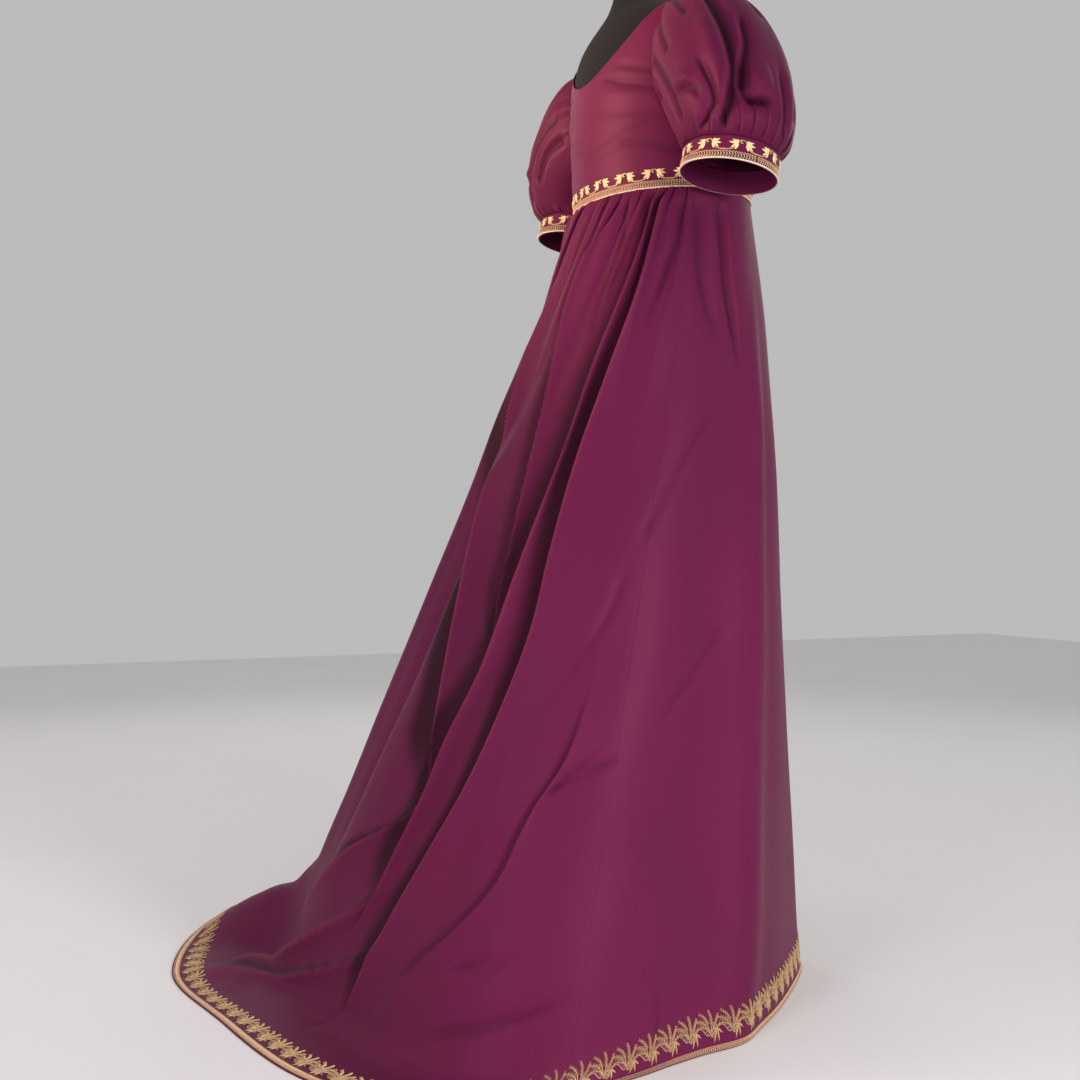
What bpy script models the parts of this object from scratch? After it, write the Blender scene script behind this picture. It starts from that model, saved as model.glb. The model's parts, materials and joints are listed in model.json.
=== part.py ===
"""Empire-waist satin gown with a train, standing on a limbless dress form.

Metres, +Z up, floor at z = 0, origin on the floor under the form's pole. The gown faces -Y, the
wearer's left is +X and the train runs out towards +Y. A `turn` is an angle round the body in
degrees: 0 at the centre front, 90 at the wearer's right, 180 at the centre back, 270 at the left.

Every cloth piece is a wall: a sheet of outer points, the same points moved in along the sheet's
own normals, and a rim. Neighbouring pieces share their surface, so that seams run side by side.
"""
import math

import bpy
import numpy as np

# Driving sizes
CLOTH = 0.0015            # thickness of the satin wall
TRIM = 0.0012             # thickness of the embroidered trim
SEAM = 0.0004             # gap between sewn pieces
EASE = 0.0018             # bodice clear of the form
WAIST_Z = 1.190           # waist seam above the floor
TRIM_HEIGHT = 0.027       # trim at the waist and the cuffs
BRAID_HEIGHT = 0.011      # its braid, below the leaves
HEM_BAND = 0.058          # trim round the hem
HEM_BRAID = 0.013         # braid along its lower edge
SKIRT_WAIST = (0.1580, 0.1275)   # half width and half depth of the skirt at the waist seam
PLACKET_TURN = 33         # side-front seam, open at its top
PLACKET_GAP = 0.0050      # width of that slit at the waist
PLACKET_LENGTH = 0.045
SIDE_BACK_TURN = 100      # seam where the gathered back begins
GATHERS_PER_PANEL = 12    # gathers in each back panel
GATHER_RISE = 0.0075      # how far a gather stands out
FRONT_COLUMNS = 16        # steps across the front panel, and across each side panel
SIDE_COLUMNS = 20
FINE_ROWS = 7             # rows with every column, down to this share of the skirt's drop
FINE_DROP = 0.22
LOWER_ROWS = 10
HEM_TRIM_LIFT = 0.0008    # keeps the trim's lower edge off the floor
WAIST_TRIM_EASE = 0.0009  # waist trim clear of the bodice
POLE_RADIUS = 0.0160
BASE_RADIUS = 0.150
BASE_HEIGHT = 0.018
TORSO_BOTTOM = 0.860

# Sections of the dress form: height, half width, half depth, centre y
FORM_SECTIONS = np.array((
    (0.860, 0.148, 0.106, 0.008),
    (0.950, 0.155, 0.112, 0.006),
    (1.060, 0.138, 0.104, 0.002),
    (1.190, 0.154, 0.124, -0.001),
    (1.280, 0.163, 0.134, -0.006),
    (1.350, 0.167, 0.116, 0.010),
    (1.400, 0.168, 0.099, 0.020),
    (1.430, 0.163, 0.087, 0.025),
    (1.448, 0.150, 0.078, 0.027),
    (1.461, 0.128, 0.070, 0.028),
    (1.474, 0.101, 0.063, 0.027),
    (1.488, 0.077, 0.058, 0.024),
    (1.505, 0.062, 0.056, 0.020),
    (1.545, 0.056, 0.055, 0.015),
))

# Armhole round the wearer's right side: clock angle (0 top, 90 back), degrees of turn behind the
# side line, height
ARMHOLE = np.array((
    (0, 0, 1.4500),
    (45, 27, 1.4330),
    (90, 38, 1.3720),
    (135, 30, 1.2880),
    (180, 0, 1.2380),
    (225, -26, 1.2740),
    (270, -33, 1.3450),
    (315, -24, 1.4240),
))
ARMHOLE_SIDES = 24

# Necklines, from the middle to the shoulder seam: share of the way, turn from the middle, height
NECK_BACK = np.array((
    (0.00, 0, 1.3720),
    (0.20, 15, 1.3860),
    (0.40, 31, 1.4060),
    (0.58, 45, 1.4310),
    (0.74, 59, 1.4490),
    (0.88, 74, 1.4600),
    (1.00, 90, 1.4660),
))
NECK_FRONT = np.array((
    (0.00, 0, 1.3200),
    (0.18, 16, 1.3270),
    (0.34, 30, 1.3460),
    (0.47, 39, 1.3720),
    (0.60, 47, 1.4050),
    (0.74, 59, 1.4380),
    (0.88, 74, 1.4560),
    (1.00, 90, 1.4660),
))

# Hem on the floor: turn, x, y, length of cloth that lies flat, how far the upper skirt stands out
HEM = np.array((
    (0, 0.025, -0.270, 0.000, 0.020),
    (30, -0.100, -0.168, 0.000, 0.020),
    (55, -0.228, -0.020, 0.000, 0.010),
    (72, -0.258, 0.075, 0.004, 0.004),
    (88, -0.290, 0.200, 0.020, 0.000),
    (101, -0.302, 0.330, 0.040, 0.000),
    (111, -0.268, 0.460, 0.080, 0.000),
    (118, -0.190, 0.545, 0.110, 0.000),
    (124, -0.080, 0.600, 0.130, 0.000),
    (134, 0.100, 0.642, 0.160, 0.000),
    (155, 0.365, 0.682, 0.190, -0.004),
    (180, 0.640, 0.575, 0.220, -0.006),
    (198, 0.705, 0.430, 0.240, -0.004),
    (215, 0.655, 0.265, 0.220, 0.000),
    (235, 0.545, 0.105, 0.150, 0.000),
    (258, 0.415, -0.035, 0.070, 0.000),
    (287, 0.285, -0.150, 0.010, 0.008),
    (322, 0.150, -0.240, 0.000, 0.018),
))
FLOOR_ROUND = 0.020       # how softly the cloth turns onto the floor

# Long folds: turn at the waist, half way and at the hem, shares of the drop where they begin and
# end, rise (a trough is negative), half width at the waist and at the hem, lean to the front
FOLDS = np.array((
    (49, 50, 58, 0.08, 1.10, 0.010, 0.014, 0.045, 0.0),
    (72, 74, 78, 0.30, 1.10, -0.006, 0.030, 0.060, 0.0),
    (92, 90, 94, 0.04, 0.60, -0.006, 0.012, 0.040, 0.0),
    (100, 106, 129, 0.48, 1.10, 0.030, 0.020, 0.032, 0.2),
    (112, 113, 118, 0.06, 0.90, -0.012, 0.010, 0.045, 0.0),
    (120, 120, 129, 0.03, 0.93, 0.026, 0.010, 0.030, 0.2),
    (124, 124, 134, 0.05, 0.88, -0.018, 0.007, 0.020, 0.0),
    (131, 128, 140, 0.03, 0.88, 0.024, 0.010, 0.026, 0.2),
    (136, 133, 143, 0.25, 0.92, -0.024, 0.010, 0.026, 0.0),
    (150, 141, 150, 0.05, 0.80, 0.014, 0.012, 0.040, 0.0),
    (124, 118, 158, 0.72, 1.02, 0.024, 0.014, 0.034, 0.0),
    (162, 154, 168, 0.05, 0.90, -0.016, 0.012, 0.035, 0.0),
    (176, 168, 178, 0.05, 0.90, 0.016, 0.014, 0.040, 0.0),
    (190, 184, 190, 0.05, 1.05, -0.018, 0.014, 0.040, 0.0),
    (204, 200, 205, 0.05, 1.10, 0.020, 0.014, 0.045, 0.0),
    (220, 217, 222, 0.06, 1.00, -0.016, 0.012, 0.035, 0.0),
    (234, 232, 236, 0.06, 1.10, 0.016, 0.012, 0.040, 0.0),
    (250, 250, 252, 0.08, 1.00, -0.012, 0.012, 0.040, 0.0),
    (268, 272, 276, 0.20, 1.10, 0.008, 0.016, 0.050, 0.0),
    (311, 310, 302, 0.08, 1.10, 0.010, 0.014, 0.045, 0.0),
))

# Puff sleeve
CUFF_CENTRE = {           # middle of each cuff's lower edge, both given on the wearer's right
    "right": np.array((-0.2450, 0.0270, 1.1800)),
    "left": np.array((-0.2400, 0.0310, 1.1900)),
}
CUFF_RADIUS = 0.0655
CUFF_TILT = 10            # degrees, front edge lower
CUFF_HEIGHT = 0.040
PUFF_OUT = 0.106          # how strongly the cloth leaves the armhole
PUFF_DOWN = 0.086         # how strongly it comes back to the cuff
SLEEVE_GATHERS = 11
SLEEVE_GATHER_RISE = 0.0060

SATIN = ("satin", (0.160, 0.018, 0.070), 0.42, 0.0)
GOLD = ("gold_embroidery", (0.560, 0.360, 0.150), 0.45, 0.2)
FORM_COVER = ("form_cover", (0.022, 0.022, 0.024), 0.85, 0.0)
FORM_METAL = ("form_metal", (0.050, 0.050, 0.055), 0.40, 0.9)


def clear_scene():
    for thing in list(bpy.data.objects):
        bpy.data.objects.remove(thing, do_unlink=True)


def material(look):
    name, colour, roughness, metallic = look
    made = bpy.data.materials.get(name) or bpy.data.materials.new(name)
    made.use_nodes = True
    shader = made.node_tree.nodes["Principled BSDF"]
    shader.inputs["Base Color"].default_value = (*colour, 1.0)
    shader.inputs["Roughness"].default_value = roughness
    shader.inputs["Metallic"].default_value = metallic
    return made


def through(knots, values, x, period=None):
    """Cubic curve through a table's rows; each knot's slope comes from its two neighbours."""
    x = np.asarray(x, float)
    if period:
        x = knots[0] + (x - knots[0]) % period
        knots = np.concatenate((knots[-1:] - period, knots, knots[:2] + period))
        values = np.concatenate((values[-1:], values, values[:2]))
        slopes = (values[2:] - values[:-2]) / (knots[2:] - knots[:-2])
        knots, values = knots[1:-1], values[1:-1]
    else:
        slopes = np.gradient(values, knots)
    i = np.clip(np.searchsorted(knots, x, side="right") - 1, 0, len(knots) - 2)
    step = knots[i + 1] - knots[i]
    t = np.clip((x - knots[i]) / step, 0, 1)
    start = values[i] * (1 + 2 * t) * (1 - t) ** 2 + values[i + 1] * t * t * (3 - 2 * t)
    return start + step * (slopes[i] * t * (1 - t) ** 2 + slopes[i + 1] * t * t * (t - 1))


def unit(vectors):
    return vectors / np.maximum(np.linalg.norm(vectors, axis=-1, keepdims=True), 1e-12)


def smooth_step(x):
    x = np.clip(x, 0, 1)
    return x * x * (3 - 2 * x)


def body(turn, height):
    """Surface of the form: an ellipse at each height, its size read from the sections."""
    turn, height = np.broadcast_arrays(np.radians(turn), height)
    knots = FORM_SECTIONS[:, 0]
    width, depth, middle = (through(knots, FORM_SECTIONS[:, k], height) for k in (1, 2, 3))
    return np.stack((-width * np.sin(turn), middle - depth * np.cos(turn), height), -1)


def off_body(turn, height, out):
    """Points at a distance out from the form, along its normals."""
    turn_step, height_step = 0.2, 0.0005
    along_turn = body(turn + turn_step, height) - body(turn - turn_step, height)
    up = body(turn, height + height_step) - body(turn, height - height_step)
    return body(turn, height) + unit(np.cross(up, along_turn)) * out


def lattice(rows, columns, closed=False, start=0):
    """Triangles of a grid of points, row by row; closed joins the last column to the first."""
    faces = []
    for i in range(rows - 1):
        for j in range(columns if closed else columns - 1):
            a, b = i * columns + j, i * columns + (j + 1) % columns
            c, d = b + columns, a + columns
            faces += [(a + start, b + start, c + start), (a + start, c + start, d + start)]
    return faces


def tangents(points, closed=False):
    """Direction of a row of points at each of them: the mean of the steps before and after."""
    if closed:
        after = unit(np.roll(points, -1, 0) - points)
        return unit(after + np.roll(after, 1, 0))
    steps = unit(np.diff(points, axis=0))
    return unit(np.concatenate((steps[:1], steps)) + np.concatenate((steps, steps[-1:])))


def grid_normals(points, closed=False):
    """Normals of a grid of points: rows run down the cloth, columns run round it."""
    down = tangents(points)
    across = tangents(points.swapaxes(0, 1), closed).swapaxes(0, 1)
    return unit(np.cross(across, down))


def away_from_middle(normals, points):
    """The same normals, turned to point away from the middle of each ring of points."""
    outwards = np.sum(normals * (points - points.mean(1, keepdims=True)))
    return normals if outwards > 0 else -normals


def solid(name, points, faces, look, smooth_angle=40):
    mesh = bpy.data.meshes.new(name)
    mesh.from_pydata([tuple(map(float, p)) for p in points], [], faces)
    mesh.validate()
    mesh.materials.append(material(look))
    mesh.shade_smooth()
    mesh.set_sharp_from_angle(angle=math.radians(smooth_angle))
    thing = bpy.data.objects.new(name, mesh)
    bpy.context.scene.collection.objects.link(thing)
    return thing


def wall(name, outer, inner, faces, look):
    """Closed wall between two sheets that share their faces, with a rim along every free edge."""
    outer, inner = outer.reshape(-1, 3), inner.reshape(-1, 3)
    a, b, c = (outer[[f[k] for f in faces]] for k in range(3))
    facing = np.einsum("ij,ij->i", np.cross(b - a, c - a), (outer - inner)[[f[0] for f in faces]])
    if facing.sum() < 0:
        faces = [f[::-1] for f in faces]
    half_edges = {(f[k], f[(k + 1) % 3]) for f in faces for k in range(3)}
    count = len(outer)
    closed = list(faces) + [tuple(v + count for v in f[::-1]) for f in faces]
    for start, end in sorted(half_edges):
        if (end, start) not in half_edges:
            closed += [(end, start, start + count), (end, start + count, end + count)]
    used = sorted({v for f in closed for v in f})
    place = {v: k for k, v in enumerate(used)}
    closed = [tuple(place[v] for v in f) for f in closed]
    return solid(name, np.concatenate((outer, inner))[used], closed, look)


# Skirt


def hem_point(turn):
    return np.stack([through(HEM[:, 0], HEM[:, k], turn, 360) for k in (1, 2)], -1)


def waist_point(turn):
    turn = np.radians(turn)
    return np.stack((-SKIRT_WAIST[0] * np.sin(turn), -SKIRT_WAIST[1] * np.cos(turn)), -1)


def meridian(turn, samples=240):
    """Hang of the skirt at one turn: straight from the waist to the floor, with a soft corner,
    then flat to the hem. Gives the cloth's length and the points at even steps of plan."""
    waist, hem = waist_point(turn), hem_point(turn)
    reach = np.linalg.norm(hem - waist)
    lying = max(0.0, float(through(HEM[:, 0], HEM[:, 3], turn, 360)))
    share = np.linspace(0, 1, samples)
    top = WAIST_Z - SEAM
    line = top * (1 - share * reach / (reach - lying))
    height = (line + np.sqrt(line ** 2 + 4 * FLOOR_ROUND ** 2)) / 2
    height = height - height[-1] * share ** 6 - (height[0] - top) * (1 - share) ** 6
    belly = through(HEM[:, 0], HEM[:, 4], turn, 360) * share * (1 - share) ** 2 * 27 / 4
    plan = waist + (hem - waist) * (share + belly / reach)[:, None]
    path = np.column_stack((plan, height))
    length = np.concatenate(([0], np.cumsum(np.linalg.norm(np.diff(path, axis=0), axis=1))))
    return length, path


def skirt_base(turns, shares):
    """Skirt without folds. The shares run 0 to 1 from the waist to the top of the hem band, and
    past 1 they count the band: 2 is the hem's lower edge."""
    columns, drops = [], []
    for turn in turns:
        length, path = meridian(turn)
        whole = length[-1]
        along = np.where(shares <= 1, shares * (whole - HEM_BAND),
                         whole - HEM_BAND + (shares - 1) * HEM_BAND)
        columns.append(np.stack([np.interp(along, length, path[:, k]) for k in range(3)], -1))
        drops.append(along)
    return np.stack(columns, 1), np.stack(drops, 1)


def gather_wave(turn, drop):
    """Gathers of the back: ridges that grow just under the seam and melt away lower down."""
    pitch = (180 - SIDE_BACK_TURN) / GATHERS_PER_PANEL
    count = np.abs(turn - 180) / pitch
    behind = smooth_step((GATHERS_PER_PANEL - count) / 1.5)
    ridge = 0.5 - 0.5 * np.cos(2 * np.pi * count)
    uneven = 0.78 + 0.22 * np.sin(2.4 * np.floor(count) + 0.6 * np.sign(turn - 180))
    reach = drop / 0.055
    size = 0.22 + reach * np.exp(1 - reach / (1 + 0.9 * uneven))
    return GATHER_RISE * behind * uneven * ridge * np.clip(size, 0, 1.2)


def fold_rise(turn, part, spread):
    """Long folds and troughs; part runs from 0 at the waist to 1 at the hem, and spread is the
    skirt's width for each degree of turn."""
    rise = np.zeros_like(part)
    lean = np.zeros_like(part)
    for top, middle, bottom, begin, end, size, narrow, wide, sway in FOLDS:
        bend = 2 * (top + bottom - 2 * middle)
        centre = top + (bottom - top) * part - bend * part * (1 - part)
        grown = smooth_step((part - begin) / 0.22) * smooth_step((end - part) / 0.15)
        width = narrow + (wide - narrow) * part
        bump = size * grown * np.exp(-((turn - centre) * spread / width) ** 2)
        rise += bump
        lean += bump * sway
    return rise, lean


def skirt_surface(turns, shares):
    """Outer points and normals of the whole skirt, a closed ring of columns."""
    points, drop = skirt_base(turns, shares)
    turn = np.broadcast_to(turns, drop.shape)
    steps = np.linalg.norm(np.roll(points, -1, 1) - np.roll(points, 1, 1), axis=-1)
    spread = steps / ((np.roll(turns, -1) - np.roll(turns, 1)) % 360)
    rise, lean = fold_rise(turn, drop / drop[-1], spread)
    rise = rise + gather_wave(turn, drop)
    across = tangents(points.swapaxes(0, 1), True).swapaxes(0, 1)
    points = points + grid_normals(points, True) * rise[..., None] - across * lean[..., None]
    points[..., 2] = np.maximum(points[..., 2], 0)
    points[0, :, 2] = WAIST_Z - SEAM
    points[-1, :, 2] = np.minimum(points[-1, :, 2], 0.002)
    normals = grid_normals(points, True)
    normals[0, :, 2] = 0
    normals = unit(normals)
    points[..., 2] = np.maximum(points[..., 2], CLOTH * np.maximum(normals[..., 2], 0))
    return points, normals


def skirt_turns():
    """Columns of the skirt: coarse at the front and sides, four to a gather at the back, with
    every second one kept lower down."""
    gather = (180 - SIDE_BACK_TURN) / GATHERS_PER_PANEL
    front = np.linspace(-PLACKET_TURN, PLACKET_TURN, FRONT_COLUMNS + 1)
    side = np.linspace(PLACKET_TURN, SIDE_BACK_TURN, SIDE_COLUMNS + 1)
    back = SIDE_BACK_TURN + gather / 4 * np.arange(1, 8 * GATHERS_PER_PANEL + 1)
    return np.concatenate((front, side[1:], back, 360 - side[1:-1][::-1]))


def skirt_rows():
    """Shares of the drop: close together below the waist, then even, then the hem band's two."""
    upper = FINE_DROP * np.linspace(0, 1, FINE_ROWS) ** 1.25
    lower = np.linspace(FINE_DROP, 1, LOWER_ROWS + 1)[1:]
    return np.concatenate((upper, lower, (2 - HEM_BRAID / HEM_BAND, 2.0)))


def panel_faces(first, last, rows, total, fine):
    """Triangles of a panel between two columns; where fine, the upper rows have all columns and
    the lower ones every second, and three triangles close each cell between them."""
    faces = []
    for i in range(rows - 1):
        step = 1 if fine and i < FINE_ROWS - 1 else 2
        for j in range(first, last, step):
            a, b = i * total + j % total, i * total + (j + step) % total
            c, d = b + total, a + total
            if fine and i == FINE_ROWS - 1:
                middle = i * total + (j + 1) % total
                faces += [(a, middle, d), (middle, c, d), (middle, b, c)]
            else:
                faces += [(a, b, c), (a, c, d)]
    return faces


def open_seam(points, column, towards, drop, slit):
    """Moves one edge column of a panel half a seam gap inwards, and more along the placket."""
    total = points.shape[1]
    side = points[:, (column + towards) % total] - points[:, column]
    along = tangents(points[:, column])
    side = unit(side - along * np.einsum("ij,ij->i", side, along)[:, None])
    gap = np.full(len(points), SEAM / 2)
    if slit:
        gap += PLACKET_GAP / 2 * np.clip(1 - drop[:, column] / PLACKET_LENGTH, 0, 1)
    return side * gap[:, None]


def make_skirt():
    turns, shares = skirt_turns(), skirt_rows()
    points, normals = skirt_surface(turns, shares)
    drop = skirt_base(turns, shares)[1]
    total = len(turns)
    front_end = FRONT_COLUMNS
    side_end = front_end + SIDE_COLUMNS
    back_middle = side_end + 4 * GATHERS_PER_PANEL
    back_end = back_middle + 4 * GATHERS_PER_PANEL
    panels = (
        ("front", 0, front_end, False, True, True),
        ("side_right", front_end, side_end, False, True, False),
        ("back_right", side_end, back_middle, True, False, False),
        ("back_left", back_middle, back_end, True, False, False),
        ("side_left", back_end, total, False, False, True),
    )
    inner = points - normals * CLOTH
    inner[..., 2] = np.maximum(inner[..., 2], 0)
    inner[0, :, 2] = WAIST_Z - SEAM
    for name, first, last, fine, slit_first, slit_last in panels:
        outer_part, inner_part = points.copy(), inner.copy()
        for column, towards, slit in ((first, 2, slit_first), (last % total, -2, slit_last)):
            move = open_seam(points, column, towards, drop, slit)
            for sheet in (outer_part, inner_part):
                sheet[:, column] += move
                sheet[:, column, 2] = np.maximum(sheet[:, column, 2], 0)
        if last == total:
            # The last panel ends on the column where the first one starts
            outer_part = np.concatenate((outer_part, outer_part[:, :1]), 1)
            inner_part = np.concatenate((inner_part, inner_part[:, :1]), 1)
        width = outer_part.shape[1]
        faces = panel_faces(first, last, len(shares), width, fine)
        wall("skirt_" + name, outer_part, inner_part, faces, SATIN)
        band = slice(len(shares) - 3, len(shares))
        under = outer_part[band, first:last + 1:2]
        way = np.concatenate((normals, normals[:, :1]), 1)[band, first:last + 1:2]
        lift = np.array((0.0, 0.0, HEM_TRIM_LIFT))
        inside = under + way * SEAM + lift
        outside = under + way * (SEAM + TRIM) + lift
        wall("hem_trim_" + name, outside, inside, lattice(3, under.shape[1]), GOLD)


# Bodice


def armhole_polygon():
    """Clock angles and (turn behind the side line, height) of the armhole's corners."""
    clock = np.arange(ARMHOLE_SIDES) * 360 / ARMHOLE_SIDES
    return clock, *(through(ARMHOLE[:, 0], ARMHOLE[:, k], clock, 360) for k in (1, 2))


def half_bodice(neck, facing, columns=8, seam_rows=4):
    """One half of the front or the back, a four-sided patch in (turn, height): its middle line
    and neckline on one side, its side seam and armhole on the other, the waist seam at the
    bottom and the shoulder seam at the top. Facing is 1 at the back and -1 at the front."""
    clock, behind, height = armhole_polygon()
    half = ARMHOLE_SIDES // 2
    around = np.arange(half, -1, -1) if facing > 0 else np.arange(half, ARMHOLE_SIDES + 1)
    around = around % ARMHOLE_SIDES
    trim_rows = np.array((WAIST_Z, WAIST_Z + BRAID_HEIGHT, WAIST_Z + TRIM_HEIGHT))
    seam = np.concatenate((trim_rows, np.linspace(trim_rows[-1], height[half], seam_rows)[1:-1]))
    outer_turn = np.concatenate((np.full(len(seam), 90.0), 90 - np.abs(behind[around])))
    outer_height = np.concatenate((seam, height[around]))
    rows_to_neck = 4
    middle_height = np.concatenate((
        seam, np.linspace(height[half], neck[0, 2], rows_to_neck + 1)[:-1]))
    neck_share = np.linspace(0, 1, len(outer_height) - len(middle_height))
    inner_turn = np.concatenate((np.zeros(len(middle_height)),
                                 through(neck[:, 0], neck[:, 1], neck_share)))
    inner_height = np.concatenate((middle_height, through(neck[:, 0], neck[:, 2], neck_share)))
    share = np.linspace(0, 1, columns + 1)
    turn = inner_turn[:, None] + (outer_turn - inner_turn)[:, None] * share
    level = inner_height[:, None] + (outer_height - inner_height)[:, None] * share
    return turn, level, len(middle_height) + 1


def bodice_points(turn, level, out, facing):
    """Points of a half bodice on the wearer's right, clear of the side and shoulder seams."""
    true_turn = 180 - turn if facing > 0 else turn
    points = off_body(true_turn, level, out)
    seam_side = turn > 89.5
    points[..., 1] += np.where(seam_side, facing * SEAM / 2, 0)
    points[0, :, 2] = WAIST_Z
    return points


def make_bodice():
    for name, neck, facing in (("bodice_back", NECK_BACK, 1), ("bodice_front", NECK_FRONT, -1)):
        turn, level, joined = half_bodice(neck, facing)
        rows, columns = turn.shape
        sheets = []
        for out in (EASE + CLOTH, EASE):
            right = bodice_points(turn, level, out, facing)
            right[:joined, 0, 0] = 0
            left = right * (-1, 1, 1)
            sheets.append(np.concatenate((right.reshape(-1, 3), left.reshape(-1, 3))))
        faces = lattice(rows, columns)
        mirrored = []
        for face in faces:
            moved = []
            for v in face[::-1]:
                on_middle = v % columns == 0 and v // columns < joined
                moved.append(v if on_middle else v + rows * columns)
            mirrored.append(tuple(moved))
        wall(name, sheets[0], sheets[1], faces + mirrored, SATIN)


def make_waist_trim(columns_back=36, columns_front=12):
    heights = WAIST_Z + np.array((0.0, BRAID_HEIGHT, TRIM_HEIGHT))
    out = EASE + CLOTH + WAIST_TRIM_EASE
    slit = math.degrees(PLACKET_GAP / 2 / SKIRT_WAIST[0])
    for name, first, last, columns in (
            ("waist_trim_back", PLACKET_TURN + slit, 360 - PLACKET_TURN - slit, columns_back),
            ("waist_trim_front", -PLACKET_TURN + slit, PLACKET_TURN - slit, columns_front)):
        turn = np.linspace(first, last, columns + 1)[None, :]
        outer = off_body(turn, heights[:, None], out + TRIM)
        inner = off_body(turn, heights[:, None], out)
        outer[0, :, 2] = inner[0, :, 2] = WAIST_Z
        wall(name, outer, inner, lattice(3, columns + 1), GOLD)


# Sleeves


def armhole_ring(clock, out, shrink):
    """Points along the armhole's polygon on the wearer's right, drawn towards its middle."""
    corner_clock, behind, height = armhole_polygon()
    corners = off_body(90 + behind, height, out)
    corners = np.concatenate((corners, corners[:1]))
    corner_clock = np.append(corner_clock, 360)
    ring = np.stack([np.interp(clock, corner_clock, corners[:, k]) for k in range(3)], -1)
    centre = ring.mean(0)
    return ring + unit(centre - ring) * shrink


def cuff_ring(clock, rise, radius, side):
    """Circle of a cuff at a height above its lower edge, as if on the wearer's right."""
    angle, tilt = np.radians(clock), math.radians(CUFF_TILT)
    front_down = np.array((0.0, math.cos(tilt), math.sin(tilt)))
    up = np.array((0.0, -math.sin(tilt), math.cos(tilt)))
    return (CUFF_CENTRE[side] + up * rise + np.outer(-np.cos(angle), (1, 0, 0)) * radius
            + np.outer(np.sin(angle), front_down) * radius)


def sleeve_surface(columns, rows, side):
    """Puff: each strand leaves the armhole outwards, swells, and turns down and in to the cuff,
    on a cubic curve; the gathers are small at both seams."""
    clock = np.arange(columns) * 360 / columns
    start = armhole_ring(clock, EASE, SEAM + 0.0006)
    second = armhole_ring(clock, EASE + 2 * CLOTH, SEAM + 0.0003)
    end = cuff_ring(clock, CUFF_HEIGHT + SEAM, CUFF_RADIUS, side)
    angle = np.radians(clock)
    top, back = np.cos(angle), np.sin(angle)
    spread = np.stack((np.full(columns, -0.84), 0.62 * back, 0.60 * top + 0.10), -1)
    leave = unit(spread) * (PUFF_OUT * (0.56 + 0.44 * top))[:, None]
    swell = np.stack((-0.50 * top - 0.45, 0.85 * back, 0.80 + 0.12 * top), -1)
    arrive = unit(swell) * (PUFF_DOWN * (0.58 + 0.42 * top))[:, None]
    t = np.linspace(0, 1, rows)[:, None, None]
    puff = (second * (1 - t) ** 3 + 3 * (second + leave) * t * (1 - t) ** 2
            + 3 * (end + arrive) * t * t * (1 - t) + end * t ** 3)
    normals = away_from_middle(grid_normals(puff, True), puff)
    t = t[..., 0]
    ridge = 0.5 + 0.5 * np.cos(SLEEVE_GATHERS * angle)[None, :]
    uneven = 0.8 + 0.2 * np.sin(2.1 * np.round(angle * SLEEVE_GATHERS / (2 * np.pi)))
    uneven = (uneven * (0.55 + 0.45 * top))[None, :]
    size = np.maximum(np.sin(np.pi * t) ** 0.5 * (0.35 + 0.65 * t), 0)
    puff = puff + normals * (SLEEVE_GATHER_RISE * ridge * uneven * size)[..., None]
    return np.concatenate((start[None], puff))


def make_sleeves(columns=4 * SLEEVE_GATHERS, rows=8):
    faces = lattice(rows + 1, columns, True)
    band_clock = np.arange(columns // 2) * 720 / columns
    band_faces = lattice(2, columns // 2, True)
    bands = (("cuff_", CUFF_HEIGHT, CUFF_RADIUS, CLOTH, SATIN),
             ("cuff_trim_", TRIM_HEIGHT, CUFF_RADIUS + SEAM + TRIM, TRIM, GOLD))
    for side, mirror in (("right", 1), ("left", -1)):
        flip = np.array((mirror, 1, 1))
        surface = sleeve_surface(columns, rows, side)
        normals = away_from_middle(grid_normals(surface, True), surface)
        normals[-1] = unit(normals[-1] * (1, 1, 0))
        inner = surface - normals * CLOTH
        wall("sleeve_" + side, surface * flip, inner * flip, faces, SATIN)
        for name, height, radius, thick, look in bands:
            outer_band, inner_band = (
                np.array([cuff_ring(band_clock, rise, radius - step, side) * flip
                          for rise in (0, height)]) for step in (0, thick))
            wall(name + side, outer_band, inner_band, band_faces, look)


# Dress form


def turned(name, profile, look, sides=32):
    """Solid turned round the pole's axis from a (radius, height) profile, closed at both ends."""
    angle = np.arange(sides) * 2 * np.pi / sides
    rings = [np.stack((r * np.cos(angle), r * np.sin(angle), np.full(sides, z)), -1)
             for r, z in profile]
    return capped(name, np.array(rings), look)


def capped(name, rings, look):
    rows, sides = rings.shape[:2]
    faces = lattice(rows, sides, True)
    bottom, top = rows * sides, rows * sides + 1
    points = np.concatenate((rings.reshape(-1, 3), rings[:1].mean(1), rings[-1:].mean(1)))
    last = (rows - 1) * sides
    for j in range(sides):
        k = (j + 1) % sides
        faces += [(bottom, k, j), (top, last + j, last + k)]
    a, b, c = points[list(faces[0])]
    if np.dot(np.cross(b - a, c - a), a - rings.mean((0, 1))) < 0:
        faces = [f[::-1] for f in faces]
    return solid(name, points, faces, look)


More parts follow.
